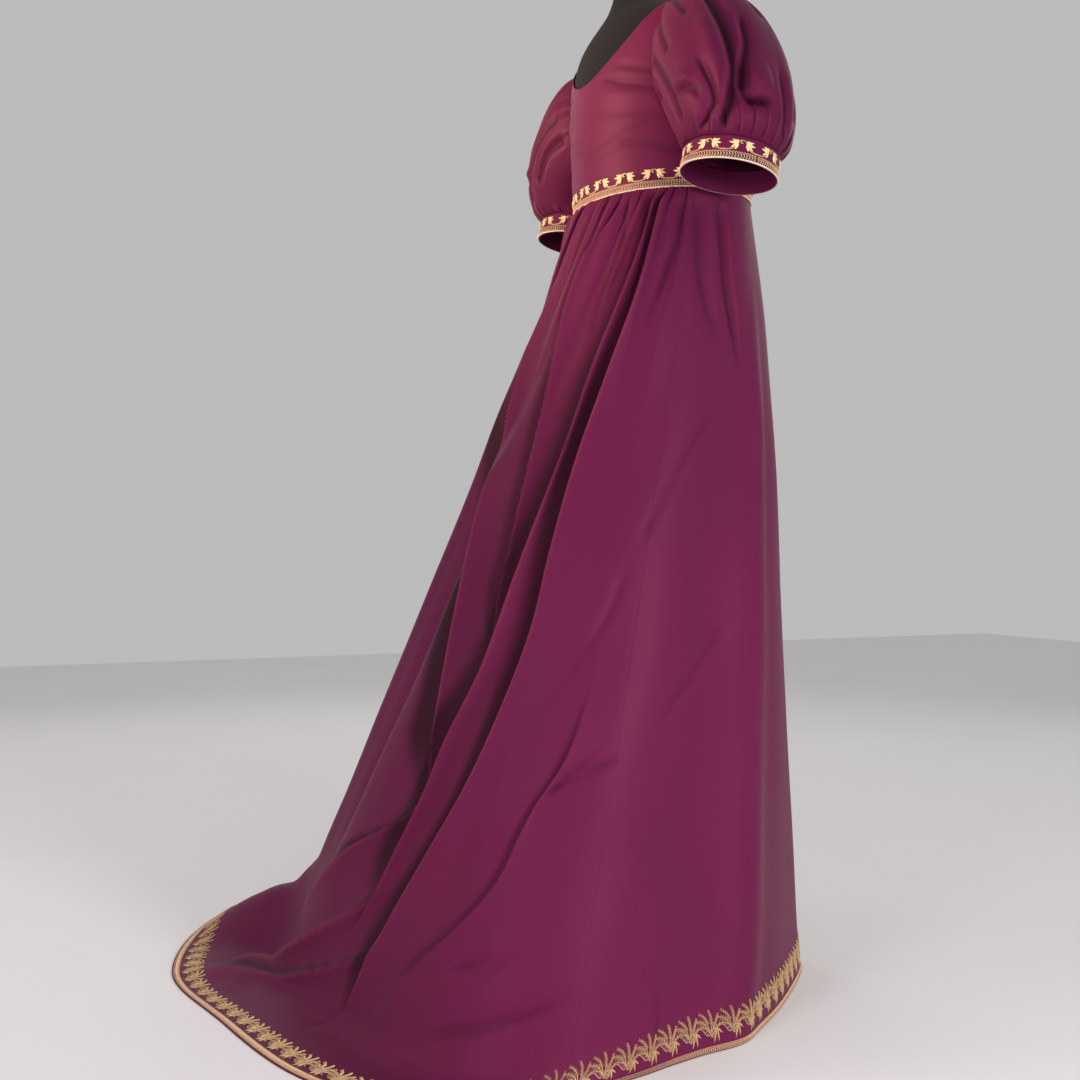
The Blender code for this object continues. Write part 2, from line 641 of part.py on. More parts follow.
def make_form(sides=30):
    turn = np.arange(sides) * 360 / sides
    heights = np.concatenate((np.linspace(TORSO_BOTTOM, 1.40, 12), FORM_SECTIONS[7:-1, 0]))
    rings = body(turn[None, :], heights[:, None])
    capped("form_torso", rings, FORM_COVER)
    neck_heights = np.array((1.505 + SEAM, 1.545))
    neck = body(turn[None, :], neck_heights[:, None])
    middle = neck[-1].mean(0)
    dome = [middle + (neck[-1] - middle) * size + (0, 0, rise)
            for size, rise in ((0.90, 0.008), (0.50, 0.013))]
    capped("form_neck", np.concatenate((neck, dome)), FORM_COVER)
    hub = 0.040
    turned("form_pole", ((POLE_RADIUS, BASE_HEIGHT + hub + SEAM),
                         (POLE_RADIUS, TORSO_BOTTOM - SEAM)), FORM_METAL, 24)
    turned("form_base", ((BASE_RADIUS - 0.002, 0.0), (BASE_RADIUS, 0.002),
                         (BASE_RADIUS, BASE_HEIGHT - 0.006), (BASE_RADIUS - 0.006, BASE_HEIGHT),
                         (0.030, BASE_HEIGHT + 0.004),
                         (0.024, BASE_HEIGHT + hub)), FORM_METAL, 32)


def main():
    clear_scene()
    make_form()
    make_bodice()
    make_waist_trim()
    make_sleeves()
    make_skirt()


main()
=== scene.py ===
# %% [markdown]
# # A satin gown with a train, stitched in numpy
#
# This lesson dresses a limbless dress form in a plum satin gown: a short bodice, two gathered puff
# sleeves, a long skirt whose back is gathered under the waist seam and runs out into a train, and
# gold embroidery round the waist, the cuffs and the hem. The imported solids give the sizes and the
# places. Every piece here is a surface of two parameters worked out as whole arrays, laid where its
# solid lies, and given a finish made of shader nodes.

# %% Load the frame
import json
import math

import bpy
import numpy as np
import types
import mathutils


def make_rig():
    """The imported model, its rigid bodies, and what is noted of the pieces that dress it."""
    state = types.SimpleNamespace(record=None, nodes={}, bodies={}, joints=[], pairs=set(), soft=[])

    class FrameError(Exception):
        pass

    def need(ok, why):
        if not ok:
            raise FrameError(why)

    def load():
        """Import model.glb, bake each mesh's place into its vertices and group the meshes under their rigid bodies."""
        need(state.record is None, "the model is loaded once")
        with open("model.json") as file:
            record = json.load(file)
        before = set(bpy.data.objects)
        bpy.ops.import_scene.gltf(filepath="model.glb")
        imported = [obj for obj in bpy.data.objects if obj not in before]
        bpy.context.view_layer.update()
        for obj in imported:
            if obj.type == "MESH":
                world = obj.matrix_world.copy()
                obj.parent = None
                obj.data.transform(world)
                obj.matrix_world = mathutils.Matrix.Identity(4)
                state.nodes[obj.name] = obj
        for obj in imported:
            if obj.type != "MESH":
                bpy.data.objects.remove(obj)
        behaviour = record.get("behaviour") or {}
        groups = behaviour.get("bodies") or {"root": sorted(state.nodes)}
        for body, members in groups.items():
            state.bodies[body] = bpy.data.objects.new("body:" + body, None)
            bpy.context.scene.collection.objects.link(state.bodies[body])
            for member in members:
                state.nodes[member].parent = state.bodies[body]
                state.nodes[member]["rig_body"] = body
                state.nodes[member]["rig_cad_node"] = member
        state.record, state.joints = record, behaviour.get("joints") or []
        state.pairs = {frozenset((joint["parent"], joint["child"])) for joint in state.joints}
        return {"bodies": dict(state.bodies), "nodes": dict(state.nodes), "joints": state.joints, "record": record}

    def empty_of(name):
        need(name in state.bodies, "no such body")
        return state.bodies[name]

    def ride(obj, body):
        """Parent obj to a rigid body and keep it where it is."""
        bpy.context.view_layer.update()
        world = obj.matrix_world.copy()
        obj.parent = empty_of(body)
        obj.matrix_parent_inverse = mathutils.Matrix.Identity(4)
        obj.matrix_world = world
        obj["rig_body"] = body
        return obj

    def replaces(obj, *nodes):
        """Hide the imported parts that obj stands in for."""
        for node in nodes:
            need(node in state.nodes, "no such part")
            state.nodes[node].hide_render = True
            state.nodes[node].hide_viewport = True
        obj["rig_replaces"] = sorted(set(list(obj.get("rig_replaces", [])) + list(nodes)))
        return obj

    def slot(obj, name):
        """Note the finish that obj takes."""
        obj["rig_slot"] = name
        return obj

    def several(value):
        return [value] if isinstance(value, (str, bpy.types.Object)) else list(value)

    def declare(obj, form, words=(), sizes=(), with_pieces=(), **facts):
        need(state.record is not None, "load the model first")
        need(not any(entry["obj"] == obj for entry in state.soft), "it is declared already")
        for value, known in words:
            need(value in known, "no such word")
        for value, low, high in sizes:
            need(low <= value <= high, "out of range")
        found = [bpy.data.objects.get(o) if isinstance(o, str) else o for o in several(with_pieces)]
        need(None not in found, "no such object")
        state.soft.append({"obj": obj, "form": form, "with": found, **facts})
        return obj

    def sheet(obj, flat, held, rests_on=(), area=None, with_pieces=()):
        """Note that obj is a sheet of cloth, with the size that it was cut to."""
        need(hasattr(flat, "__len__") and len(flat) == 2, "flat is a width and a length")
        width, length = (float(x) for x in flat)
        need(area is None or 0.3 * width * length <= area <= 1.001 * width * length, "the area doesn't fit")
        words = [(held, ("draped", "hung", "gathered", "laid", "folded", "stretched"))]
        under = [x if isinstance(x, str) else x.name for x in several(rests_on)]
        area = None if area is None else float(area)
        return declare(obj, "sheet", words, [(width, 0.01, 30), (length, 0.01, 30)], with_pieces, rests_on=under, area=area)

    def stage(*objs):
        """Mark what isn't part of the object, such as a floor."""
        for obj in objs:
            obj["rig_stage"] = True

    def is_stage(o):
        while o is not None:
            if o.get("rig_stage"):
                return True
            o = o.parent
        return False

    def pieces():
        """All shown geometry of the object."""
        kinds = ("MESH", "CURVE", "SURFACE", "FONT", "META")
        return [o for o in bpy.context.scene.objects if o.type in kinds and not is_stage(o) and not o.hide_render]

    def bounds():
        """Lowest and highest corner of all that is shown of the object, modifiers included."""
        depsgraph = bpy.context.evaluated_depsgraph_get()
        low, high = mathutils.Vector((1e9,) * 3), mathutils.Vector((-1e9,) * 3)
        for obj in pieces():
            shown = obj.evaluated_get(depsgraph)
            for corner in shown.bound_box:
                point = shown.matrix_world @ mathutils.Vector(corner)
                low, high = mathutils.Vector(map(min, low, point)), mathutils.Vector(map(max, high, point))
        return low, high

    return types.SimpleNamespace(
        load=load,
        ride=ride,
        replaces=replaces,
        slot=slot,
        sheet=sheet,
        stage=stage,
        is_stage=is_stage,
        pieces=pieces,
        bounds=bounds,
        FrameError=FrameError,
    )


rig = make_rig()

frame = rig.load()
cad_box = [list(corner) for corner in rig.bounds()]
print("solids:", len(frame["nodes"]), "in a box of", np.round(np.subtract(*cad_box[::-1]), 3), "m")

# %% [markdown]
# ## The figure
#
# A garment is drafted on a figure. Ours is a stack of ellipses whose half width, half depth and
# middle are read from a short table of heights, with a smooth curve through the rows. A place on
# the body is then two numbers: `turn`, an angle round it in degrees (0 at the centre front, 90 at
# the wearer's right, 180 at the back, 270 at the left), and a height above the floor. The gown
# faces -Y, and the train runs towards +Y.

# %% Sections of the dress form
# In metres: the satin's thickness, its room off the figure, the gap at a sewn edge, then heights
CLOTH = 0.0015
EASE = 0.0018
SEAM = 0.0004
WAIST_Z = 1.190
TORSO_BOTTOM = 0.860
NECK_BOTTOM = 1.505
NECK_TOP = 1.545

# Height, half width, half depth, centre y
FORM_SECTIONS = np.array((
    (0.860, 0.148, 0.106, 0.008),
    (0.950, 0.155, 0.112, 0.006),
    (1.060, 0.138, 0.104, 0.002),
    (1.190, 0.154, 0.124, -0.001),
    (1.280, 0.163, 0.134, -0.006),
    (1.350, 0.167, 0.116, 0.010),
    (1.400, 0.168, 0.099, 0.020),
    (1.430, 0.163, 0.087, 0.025),
    (1.448, 0.150, 0.078, 0.027),
    (1.461, 0.128, 0.070, 0.028),
    (1.474, 0.101, 0.063, 0.027),
    (1.488, 0.077, 0.058, 0.024),
    (1.505, 0.062, 0.056, 0.020),
    (1.545, 0.056, 0.055, 0.015),
))


def unit(vectors):
    """Each vector divided by its length."""
    return vectors / np.maximum(np.linalg.norm(vectors, axis=-1, keepdims=True), 1e-12)


def smooth_step(x):
    """3x² - 2x³ between 0 and 1, flat outside."""
    x = np.clip(x, 0, 1)
    return x * x * (3 - 2 * x)


def bell(x):
    """e to the power of -x²: 1 in the middle, next to nothing at twice the width."""
    return np.exp(-x * x)


def through(knots, values, x, period=None):
    """Cubic through a table's rows: Hermite pieces whose slopes join each knot's two neighbours."""
    x = np.asarray(x, float)
    if period:
        x = knots[0] + (x - knots[0]) % period
        knots = np.concatenate((knots[-1:] - period, knots, knots[:2] + period))
        values = np.concatenate((values[-1:], values, values[:2]))
        slopes = (values[2:] - values[:-2]) / (knots[2:] - knots[:-2])
        knots, values = knots[1:-1], values[1:-1]
    else:
        slopes = np.gradient(values, knots)
    i = np.clip(np.searchsorted(knots, x, side="right") - 1, 0, len(knots) - 2)
    step = knots[i + 1] - knots[i]
    t = np.clip((x - knots[i]) / step, 0, 1)
    start = values[i] * (1 + 2 * t) * (1 - t) ** 2 + values[i + 1] * t * t * (3 - 2 * t)
    return start + step * (slopes[i] * t * (1 - t) ** 2 + slopes[i + 1] * t * t * (t - 1))


def body(turn, height):
    """Ellipse at each height: x = -width sin(turn), y = middle - depth cos(turn)."""
    turn, height = np.broadcast_arrays(np.radians(turn), height)
    width, depth, middle = (through(FORM_SECTIONS[:, 0], FORM_SECTIONS[:, k], height)
                            for k in (1, 2, 3))
    return np.stack((-width * np.sin(turn), middle - depth * np.cos(turn), height), -1)


def off_body(turn, height, out):
    """Body point plus its normal, the cross of the two tangents, times the distance out."""
    along_turn = body(turn + 0.2, height) - body(turn - 0.2, height)
    up = body(turn, height + 0.0005) - body(turn, height - 0.0005)
    return body(turn, height) + unit(np.cross(up, along_turn)) * np.asarray(out)[..., None]


print("waist", 2 * FORM_SECTIONS[3, 1:3], "m wide and deep at", WAIST_Z, "m")

# %% [markdown]
# ## From grids to meshes
#
# All cloth here is a grid of points. Its normals are the cross of the directions across and down,
# and a real garment piece is a wall: the grid, the same grid moved in by the cloth's thickness, and
# a rim round the free edges. Each grid carries a UV map in metres, across and down the cloth, so
# that a weave follows the cut. `foreach_set` hands whole arrays to Blender, which is far quicker
# than adding vertices one by one.

# %% Directions, rulers and readings


def tangents(points, closed=False):
    """Direction of a row at each point: the mean of the unit steps before and after it."""
    if closed:
        after = unit(np.roll(points, -1, 0) - points)
        return unit(after + np.roll(after, 1, 0))
    steps = unit(np.diff(points, axis=0))
    return unit(np.concatenate((steps[:1], steps)) + np.concatenate((steps, steps[-1:])))


def across_tangents(points, closed=False):
    """Direction from column to column at each point."""
    return tangents(points.swapaxes(0, 1), closed).swapaxes(0, 1)


def grid_normals(points, closed=False):
    """Cross of the across and down directions; rows run down, columns run round."""
    return unit(np.cross(across_tangents(points, closed), tangents(points)))


def closed_grid(points):
    """The grid with its first column once more after its last."""
    return np.concatenate((points, points[:, :1]), 1)


def ruler(points, axis):
    """Steps of a grid along one axis, averaged over the other and added up from zero."""
    steps = np.linalg.norm(np.diff(points, axis=axis), axis=-1).mean(1 - axis)
    return np.concatenate(([0], np.cumsum(steps)))


def plan(points, closed=False):
    """UV of a grid's vertices in metres, by its two rulers, and how far round it is."""
    across = ruler(closed_grid(points) if closed else points, 1)
    u, v = np.meshgrid(across[:points.shape[1]], ruler(points, 0))
    return np.stack((u, v), -1).reshape(-1, 2), across[-1] if closed else None


def read_points(at, marks, points):
    """Points at places along a line of points: each coordinate is read straight between marks."""
    return np.stack([np.interp(at, marks, coordinate) for coordinate in points.T], -1)


print("round the waist:", round(float(ruler(body(np.arange(361)[None, :], WAIST_Z), 1)[-1]), 3), "m")

# %% Meshes and walls
# Bends in degrees past which an edge is crisp
SHARP_CLOTH = 50
SHARP_THREAD = 60


def triangles(rows, columns, closed=False):
    """Two triangles for each cell of a grid, as an array of vertex numbers."""
    i, j = np.meshgrid(np.arange(rows - 1), np.arange(columns if closed else columns - 1),
                       indexing="ij")
    a, b = i * columns + j, i * columns + (j + 1) % columns
    c, d = b + columns, a + columns
    return np.stack((a, b, c, a, c, d), -1).reshape(-1, 3)


def add_object(name, data):
    """Object at the origin, linked to the scene."""
    thing = bpy.data.objects.new(name, data)
    bpy.context.scene.collection.objects.link(thing)
    return thing


def put_mesh(name, points, faces, sharp, uv=None):
    """Mesh object from arrays; uv holds one pair for each corner of each triangle. Edges that bend
    by more than the sharp angle stay crisp."""
    mesh = bpy.data.meshes.new(name)
    mesh.vertices.add(len(points))
    mesh.vertices.foreach_set("co", np.asarray(points, np.float32).ravel())
    mesh.loops.add(3 * len(faces))
    mesh.loops.foreach_set("vertex_index", np.asarray(faces, np.int32).ravel())
    mesh.polygons.add(len(faces))
    mesh.polygons.foreach_set("loop_start", np.arange(0, 3 * len(faces), 3, dtype=np.int32))
    if uv is not None:
        layer = mesh.uv_layers.new(name="cut")
        layer.data.foreach_set("uv", np.asarray(uv, np.float32).ravel())
    mesh.update(calc_edges=True)
    mesh.validate()
    mesh.shade_smooth()
    mesh.set_sharp_from_angle(angle=math.radians(sharp))
    return add_object(name, mesh)


def wall(name, outer, inner, skin, uv, around=None):
    """Closed wall: outer skin, inner skin turned round, and a rim on each edge that only one
    triangle has. Where a skin closes on itself, its last UVs count on past the first."""
    outer, inner = outer.reshape(-1, 3), inner.reshape(-1, 3)
    count = len(outer)
    a, b, c = (outer[skin[:, k]] for k in range(3))
    facing = np.einsum("ij,ij->i", np.cross(b - a, c - a), a - inner[skin[:, 0]])
    if facing.sum() < 0:
        skin = skin[:, ::-1]
    edges = np.concatenate([skin[:, (k, (k + 1) % 3)] for k in range(3)])
    rim = edges[~np.isin(edges[:, 1] * count + edges[:, 0], edges[:, 0] * count + edges[:, 1])]
    a, b = rim.T
    faces = np.concatenate((skin, skin[:, ::-1] + count, np.stack((b, a, a + count), -1),
                            np.stack((b, a + count, b + count), -1)))
    corners = uv[faces % count]
    if around:
        late = (corners[..., 0] < 0.2 * around) & (corners[..., 0].max(1) > 0.8 * around)[:, None]
        corners[..., 0] += late * around
    used, faces = np.unique(faces, return_inverse=True)
    points = np.concatenate((outer, inner))[used]
    return put_mesh(name, points, faces.reshape(-1, 3), SHARP_CLOTH, corners)


def grid_wall(name, outer, inner, closed=False):
    """Wall between two grids of points."""
    uv, around = plan(outer, closed)
    return wall(name, outer, inner, triangles(*outer.shape[:2], closed), uv, around)


def cut_size(points):
    """Widest row, longest column and area of a grid: the sum of its triangles' areas."""
    width = np.linalg.norm(np.diff(points, axis=1), axis=-1).sum(1).max()
    length = np.linalg.norm(np.diff(points, axis=0), axis=-1).sum(0).max()
    faces = triangles(*points.shape[:2])
    a, b, c = (points.reshape(-1, 3)[faces[:, k]] for k in range(3))
    return width, length, 0.5 * np.linalg.norm(np.cross(b - a, c - a), axis=1).sum()


print("triangles of a grid with 3 rows and 4 columns:", len(triangles(3, 4)))

# %% Dressing a piece
counts = {}
cuts = {}


def mark_painted_shading(piece, press):
    """Painted light and shade, an attribute of the outer skin for the satin: +1 a painted highlight where an edge
    catches the light, -1 a painted shade in a fold.
    """
    layer = piece.data.attributes.new("press", "FLOAT", "POINT")
    values = np.zeros(len(piece.data.vertices), np.float32)
    values[:press.size] = press.ravel()
    layer.data.foreach_set("value", values)


def dress(piece, look, slot, nodes=()):
    """Finishes a piece: its material, its slot, its body and the solids that it stands for."""
    piece.data.materials.append(look)
    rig.slot(piece, slot)
    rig.ride(piece, "root")
    if nodes:
        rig.replaces(piece, *nodes)
    counts[piece.name] = len(piece.data.polygons)
    print(f"{piece.name}: {counts[piece.name]} triangles")
    return piece


def cloth(piece, nodes, size, held="draped"):
    """A cut piece of satin, whose size is kept for the list of cuts at the end."""
    cuts[piece.name] = (size, held)
    dress(piece, SATIN, "satin", nodes)


print("pieces so far:", len(counts))

# %% [markdown]
# ## Writing shaders as sums
#
# A material is a graph of nodes, but most of it is arithmetic. The small class `Wire` wraps a
# socket, so that `1 - mask * 0.3` adds the Math nodes by itself. `Paint` holds one material, and its
# `add` makes any other node: its settings first, then the values or wires of its sockets.

# %% Wires


class Wire:
    """A socket that can be added, multiplied and so on; each operator adds one Math node."""

    def __init__(self, paint, socket):
        self.paint = paint
        self.socket = socket

    def math(self, operation, first, second):
        """One Math node on two values or wires."""
        return self.paint.add("ShaderNodeMath", {"operation": operation}, {0: first, 1: second})

    def __add__(self, other):
        return self.math("ADD", self, other)

    def __sub__(self, other):
        return self.math("SUBTRACT", self, other)

    def __rsub__(self, other):
        return self.math("SUBTRACT", other, self)

    def __mul__(self, other):
        return self.math("MULTIPLY", self, other)

    __radd__ = __add__
    __rmul__ = __mul__


print("a wire adds, subtracts and multiplies")

# %% Paints


class Paint:
    """One material: its Principled shader and the nodes that feed it."""

    def __init__(self, name, **constants):
        self.material = bpy.data.materials.new(name)
        self.material.use_nodes = True
        self.tree = self.material.node_tree
        self.shader = self.tree.nodes["Principled BSDF"]
        for socket, value in constants.items():
            self.put(socket.replace("_", " "), value)

    def add(self, kind, settings=None, inputs=None, output=0):
        """A node of this type: settings are set first, then each socket's value or wire."""
        node = self.tree.nodes.new(kind)
        for key, value in (settings or {}).items():
            setattr(node, key, value)
        for key, value in (inputs or {}).items():
            self.feed(node.inputs[key], value)
        return Wire(self, node.outputs[output])

    def feed(self, socket, value):
        """Links a wire to a socket, or stores a constant; a colour gets its alpha."""
        if isinstance(value, Wire):
            self.tree.links.new(value.socket, socket)
        else:
            socket.default_value = (*value, 1.0) if socket.type == "RGBA" else value

    def put(self, socket, value):
        """A constant or a wire on the Principled shader."""
        self.feed(self.shader.inputs[socket], value)

    def mix(self, factor, first, second):
        """Colour between two colours."""
        return self.add("ShaderNodeMix", {"data_type": "RGBA"}, {0: factor, 6: first, 7: second}, 2)

    def place(self):
        """Object coordinates, in metres."""
        return self.add("ShaderNodeTexCoord", output=3)

    def finish(self, colour, roughness, relief, strength, depth):
        """Puts the colour, the roughness and a fine relief, so many metres deep, on the shader."""
        self.put("Base Color", colour)
        self.put("Roughness", roughness)
        self.put("Normal", self.add("ShaderNodeBump", None, {
            "Height": relief, "Strength": strength, "Distance": depth}))
        return self.material


def noise(paint, where, scale, detail=2.0):
    """Soft noise between 0 and 1, with as many spots to a metre as its scale."""
    return paint.add("ShaderNodeTexNoise", None, {"Vector": where, "Scale": scale, "Detail": detail})


def stretched(paint, where, size):
    """Coordinates multiplied by a size along each axis."""
    return paint.add("ShaderNodeMapping", None, {"Vector": where, "Scale": size})


print("wires and paints ready")

# %% [markdown]
# ## Finishes
#
# The satin is a plum with wine-red warmth where the threads catch the light. Satin floats one set
# of threads over the other, so it is smooth down the cloth and shows faint slubs: thin streaks,
# much longer down than across, which change the colour and the roughness a little. Where a piece
# carries painted light and shade, its edges get a warm painted highlight and its hollows a painted
# shade. The trims are wound thread: pale gold leaves, old gold plumes, copper stems and braid, mauve
# curls and a cream piping. The form wears a charcoal jersey.

# %% Satin, threads, jersey and metal


def satin_paint(name, deep, warm, roughness):
    """Plum to wine by a slow noise, slubs by a noise stretched down the cloth, then a warm painted highlight and a
    painted shade from the attribute of painted light and shade.
    """
    paint = Paint(name, Sheen_Weight=0.04, Sheen_Roughness=0.4, Sheen_Tint=(0.80, 0.20, 0.26),
                  Specular_IOR_Level=0.11, Specular_Tint=(1.0, 0.42, 0.52))
    across_cloth = paint.add("ShaderNodeUVMap", {"uv_map": "cut"})
    slub = noise(paint, stretched(paint, across_cloth, (900.0, 22.0, 1.0)), 1.0)
    cloud = noise(paint, paint.place(), 3.5, 3.0)
    weave = noise(paint, stretched(paint, across_cloth, (2600.0, 2600.0, 1.0)), 1.0, 1.0)
    # The pieces' attribute of painted light and shade: a painted highlight above zero, a painted shade below.
    press = paint.add("ShaderNodeAttribute", {"attribute_name": "press"}, output=2)
    cloth_colour = paint.mix(cloud * 0.6 + slub * 0.4, deep, warm)
    # Painted highlight: warm wine on edges that catch the light.
    cloth_colour = paint.mix(press * 0.5, cloth_colour, (0.190, 0.028, 0.050))
    # Painted shade: near-black plum in folds and hollows.
    cloth_colour = paint.mix(press * -0.9, cloth_colour, (0.014, 0.0012, 0.006))
    return paint.finish(cloth_colour, slub * 0.14 + (roughness - 0.07), slub * 0.6 + weave * 0.4,
                        0.25, 0.0004)


def thread_paint(name, dark, light, metallic, roughness, twist=1500.0):
    """Wound thread: dark and light by a noise, with a fine ripple across it as bump."""
    paint = Paint(name, Metallic=metallic, Specular_IOR_Level=0.5)
    place = paint.place()
    tone = noise(paint, place, 260.0)
    ripple = noise(paint, stretched(paint, place, (twist, twist, twist)), 1.0, 1.0)
    return paint.finish(paint.mix(tone * 0.6 + ripple * 0.4, dark, light),
                        ripple * 0.2 + (roughness - 0.1), ripple, 0.5, 0.0003)


def jersey_paint():
    """Charcoal knit: a fine noise for the stitches, a slower one for wear."""
    paint = Paint("charcoal_jersey", Sheen_Weight=0.02, Specular_IOR_Level=0.08)
    place = paint.place()
    knit = noise(paint, place, 700.0, 1.0)
    wear = noise(paint, place, 9.0, 3.0)
    colour = paint.mix(wear * 0.7 + knit * 0.3, (0.0055, 0.0056, 0.0064), (0.0120, 0.0120, 0.0135))
    return paint.finish(colour, 0.75 + wear * 0.15, knit, 0.3, 0.0005)


def metal_paint():
    """Dark powder coat: a fine grain as bump and in the roughness."""
    paint = Paint("dark_stand_metal", Metallic=0.6, Specular_IOR_Level=0.5)
    place = paint.place()
    grain = noise(paint, place, 900.0)
    colour = paint.mix(noise(paint, place, 20.0), (0.030, 0.030, 0.033), (0.060, 0.060, 0.065))
    return paint.finish(colour, 0.35 + grain * 0.15, grain, 0.2, 0.0002)


print("finishes: satin, thread, jersey and metal")

# %% This gown's materials
SATIN = satin_paint("plum_satin", (0.074, 0.0070, 0.035), (0.120, 0.0105, 0.048), 0.50)
LEAF_THREAD = thread_paint("pale_gold_thread",
                           (0.520, 0.360, 0.130), (0.900, 0.760, 0.430), 0.2, 0.45)
PLUME_THREAD = thread_paint("old_gold_thread",
                            (0.290, 0.165, 0.068), (0.640, 0.440, 0.220), 0.2, 0.48)
STEM_THREAD = thread_paint("copper_gold_thread",
                           (0.420, 0.240, 0.080), (0.820, 0.600, 0.280), 0.25, 0.42)
BRAID_THREAD = thread_paint("copper_braid_thread",
                            (0.480, 0.250, 0.130), (0.860, 0.600, 0.380), 0.2, 0.48)
BRAID_DARK = thread_paint("dark_braid_ground",
                          (0.028, 0.006, 0.008), (0.060, 0.014, 0.012), 0.0, 0.7)
PIPING_THREAD = thread_paint("cream_piping_thread",
                             (0.560, 0.440, 0.300), (0.840, 0.740, 0.580), 0.1, 0.5)
CURL_THREAD = thread_paint("mauve_curl_thread",
                           (0.190, 0.065, 0.080), (0.400, 0.200, 0.190), 0.1, 0.55)
JERSEY = jersey_paint()
METAL = metal_paint()
print("materials:", len(bpy.data.materials))

# %% [markdown]
# ## The dress form
#
# The torso and the neck stub are padded shells under jersey. Their solids have thirty sides, so the
# finer surfaces here take their place: the same ellipses with many more sides, closed at both ends
# by a small flat cap.

# %% Torso, neck and stand


def rounded_form(name, rings, nodes):
    """Stack of rings, closed at both ends by a fan to the ring's middle."""
    rows, sides = rings.shape[:2]
    around = np.arange(sides)
    after = (around + 1) % sides
    bottom, top, last = rows * sides, rows * sides + 1, (rows - 1) * sides
    caps = [np.stack((np.full(sides, bottom), after, around), -1),
            np.stack((np.full(sides, top), last + around, last + after), -1)]
    faces = np.concatenate([triangles(rows, sides, True)] + caps)
    points = np.concatenate((rings.reshape(-1, 3), rings[:1].mean(1), rings[-1:].mean(1)))
    a, b, c = points[faces[0]]
    if np.dot(np.cross(b - a, c - a), a - rings.mean((0, 1))) < 0:
        faces = faces[:, ::-1]
    dress(put_mesh(name, points, faces, SHARP_CLOTH), JERSEY, "form_cover", nodes)


FORM_SIDES = 120
DOME_RISE = 0.0125
form_turn = np.arange(FORM_SIDES)[None, :] * 360 / FORM_SIDES
torso_rings = body(form_turn, np.linspace(TORSO_BOTTOM, NECK_BOTTOM, 90)[:, None])
underside = torso_rings[0] + (torso_rings[0].mean(0) - torso_rings[0]) * 0.03
rounded_form("torso_jersey", np.concatenate((underside[None], torso_rings)), ["form_torso"])

neck_rings = body(form_turn, np.linspace(NECK_BOTTOM + SEAM, NECK_TOP, 12)[:, None])
neck_middle = neck_rings[-1].mean(0)
dome = [neck_middle + (neck_rings[-1] - neck_middle) * math.cos(a) + (0, 0, DOME_RISE * math.sin(a))
        for a in np.radians(np.linspace(8, 80, 8))]
rounded_form("neck_jersey", np.concatenate((neck_rings, dome)), ["form_neck"])

for node in ("form_pole", "form_base"):
    for holder in bpy.data.objects[node].material_slots:
        holder.material = METAL

# %% [markdown]
# ## The skirt's hang
#
# Each line down the skirt starts at the waist, falls straight to the floor, rounds onto it and lies
# flat as far as the hem. The hem's outline on the floor is a table: at the back left it runs out
# more than half a metre into the train. Along one line the height is a hyperbola, the soft corner
# between the straight fall and the floor.

# %% Hem table and skirt base
# In metres, or in degrees of turn
SKIRT_WAIST = (0.1580, 0.1275)
HEM_BAND = 0.058
FLOOR_ROUND = 0.020
HEM_LIFT = 0.0025
STITCH_GAP = 0.0001
SEAM_ROLL = (0.00015, 0.00005)
PLACKET_TURN = 33
PLACKET_GAP = 0.0050
PLACKET_LENGTH = 0.045
SIDE_BACK_TURN = 100
GATHERS_PER_PANEL = 12
GATHER_RISE = 0.0095

# Turn, x, y, length of cloth that lies flat, how far the upper skirt stands out
HEM = np.array((
    (0, 0.025, -0.270, 0.000, 0.020),
    (30, -0.100, -0.168, 0.000, 0.020),
    (55, -0.228, -0.020, 0.000, 0.010),
    (72, -0.258, 0.075, 0.004, 0.004),
    (88, -0.290, 0.200, 0.020, 0.000),
    (101, -0.302, 0.330, 0.040, 0.000),
    (111, -0.268, 0.460, 0.080, 0.000),
    (118, -0.190, 0.545, 0.110, 0.000),
    (124, -0.080, 0.600, 0.130, 0.000),
    (134, 0.100, 0.642, 0.160, 0.000),
    (155, 0.365, 0.682, 0.190, -0.004),
    (180, 0.640, 0.575, 0.220, -0.006),
    (198, 0.705, 0.430, 0.240, -0.004),
    (215, 0.655, 0.265, 0.220, 0.000),
    (235, 0.545, 0.105, 0.150, 0.000),
    (258, 0.415, -0.035, 0.070, 0.000),
    (287, 0.285, -0.150, 0.010, 0.008),
    (322, 0.150, -0.240, 0.000, 0.018),
))


def hem_table(turn, column):
    """One column of the hem's table at any turn."""
    return through(HEM[:, 0], HEM[:, column], turn, 360)


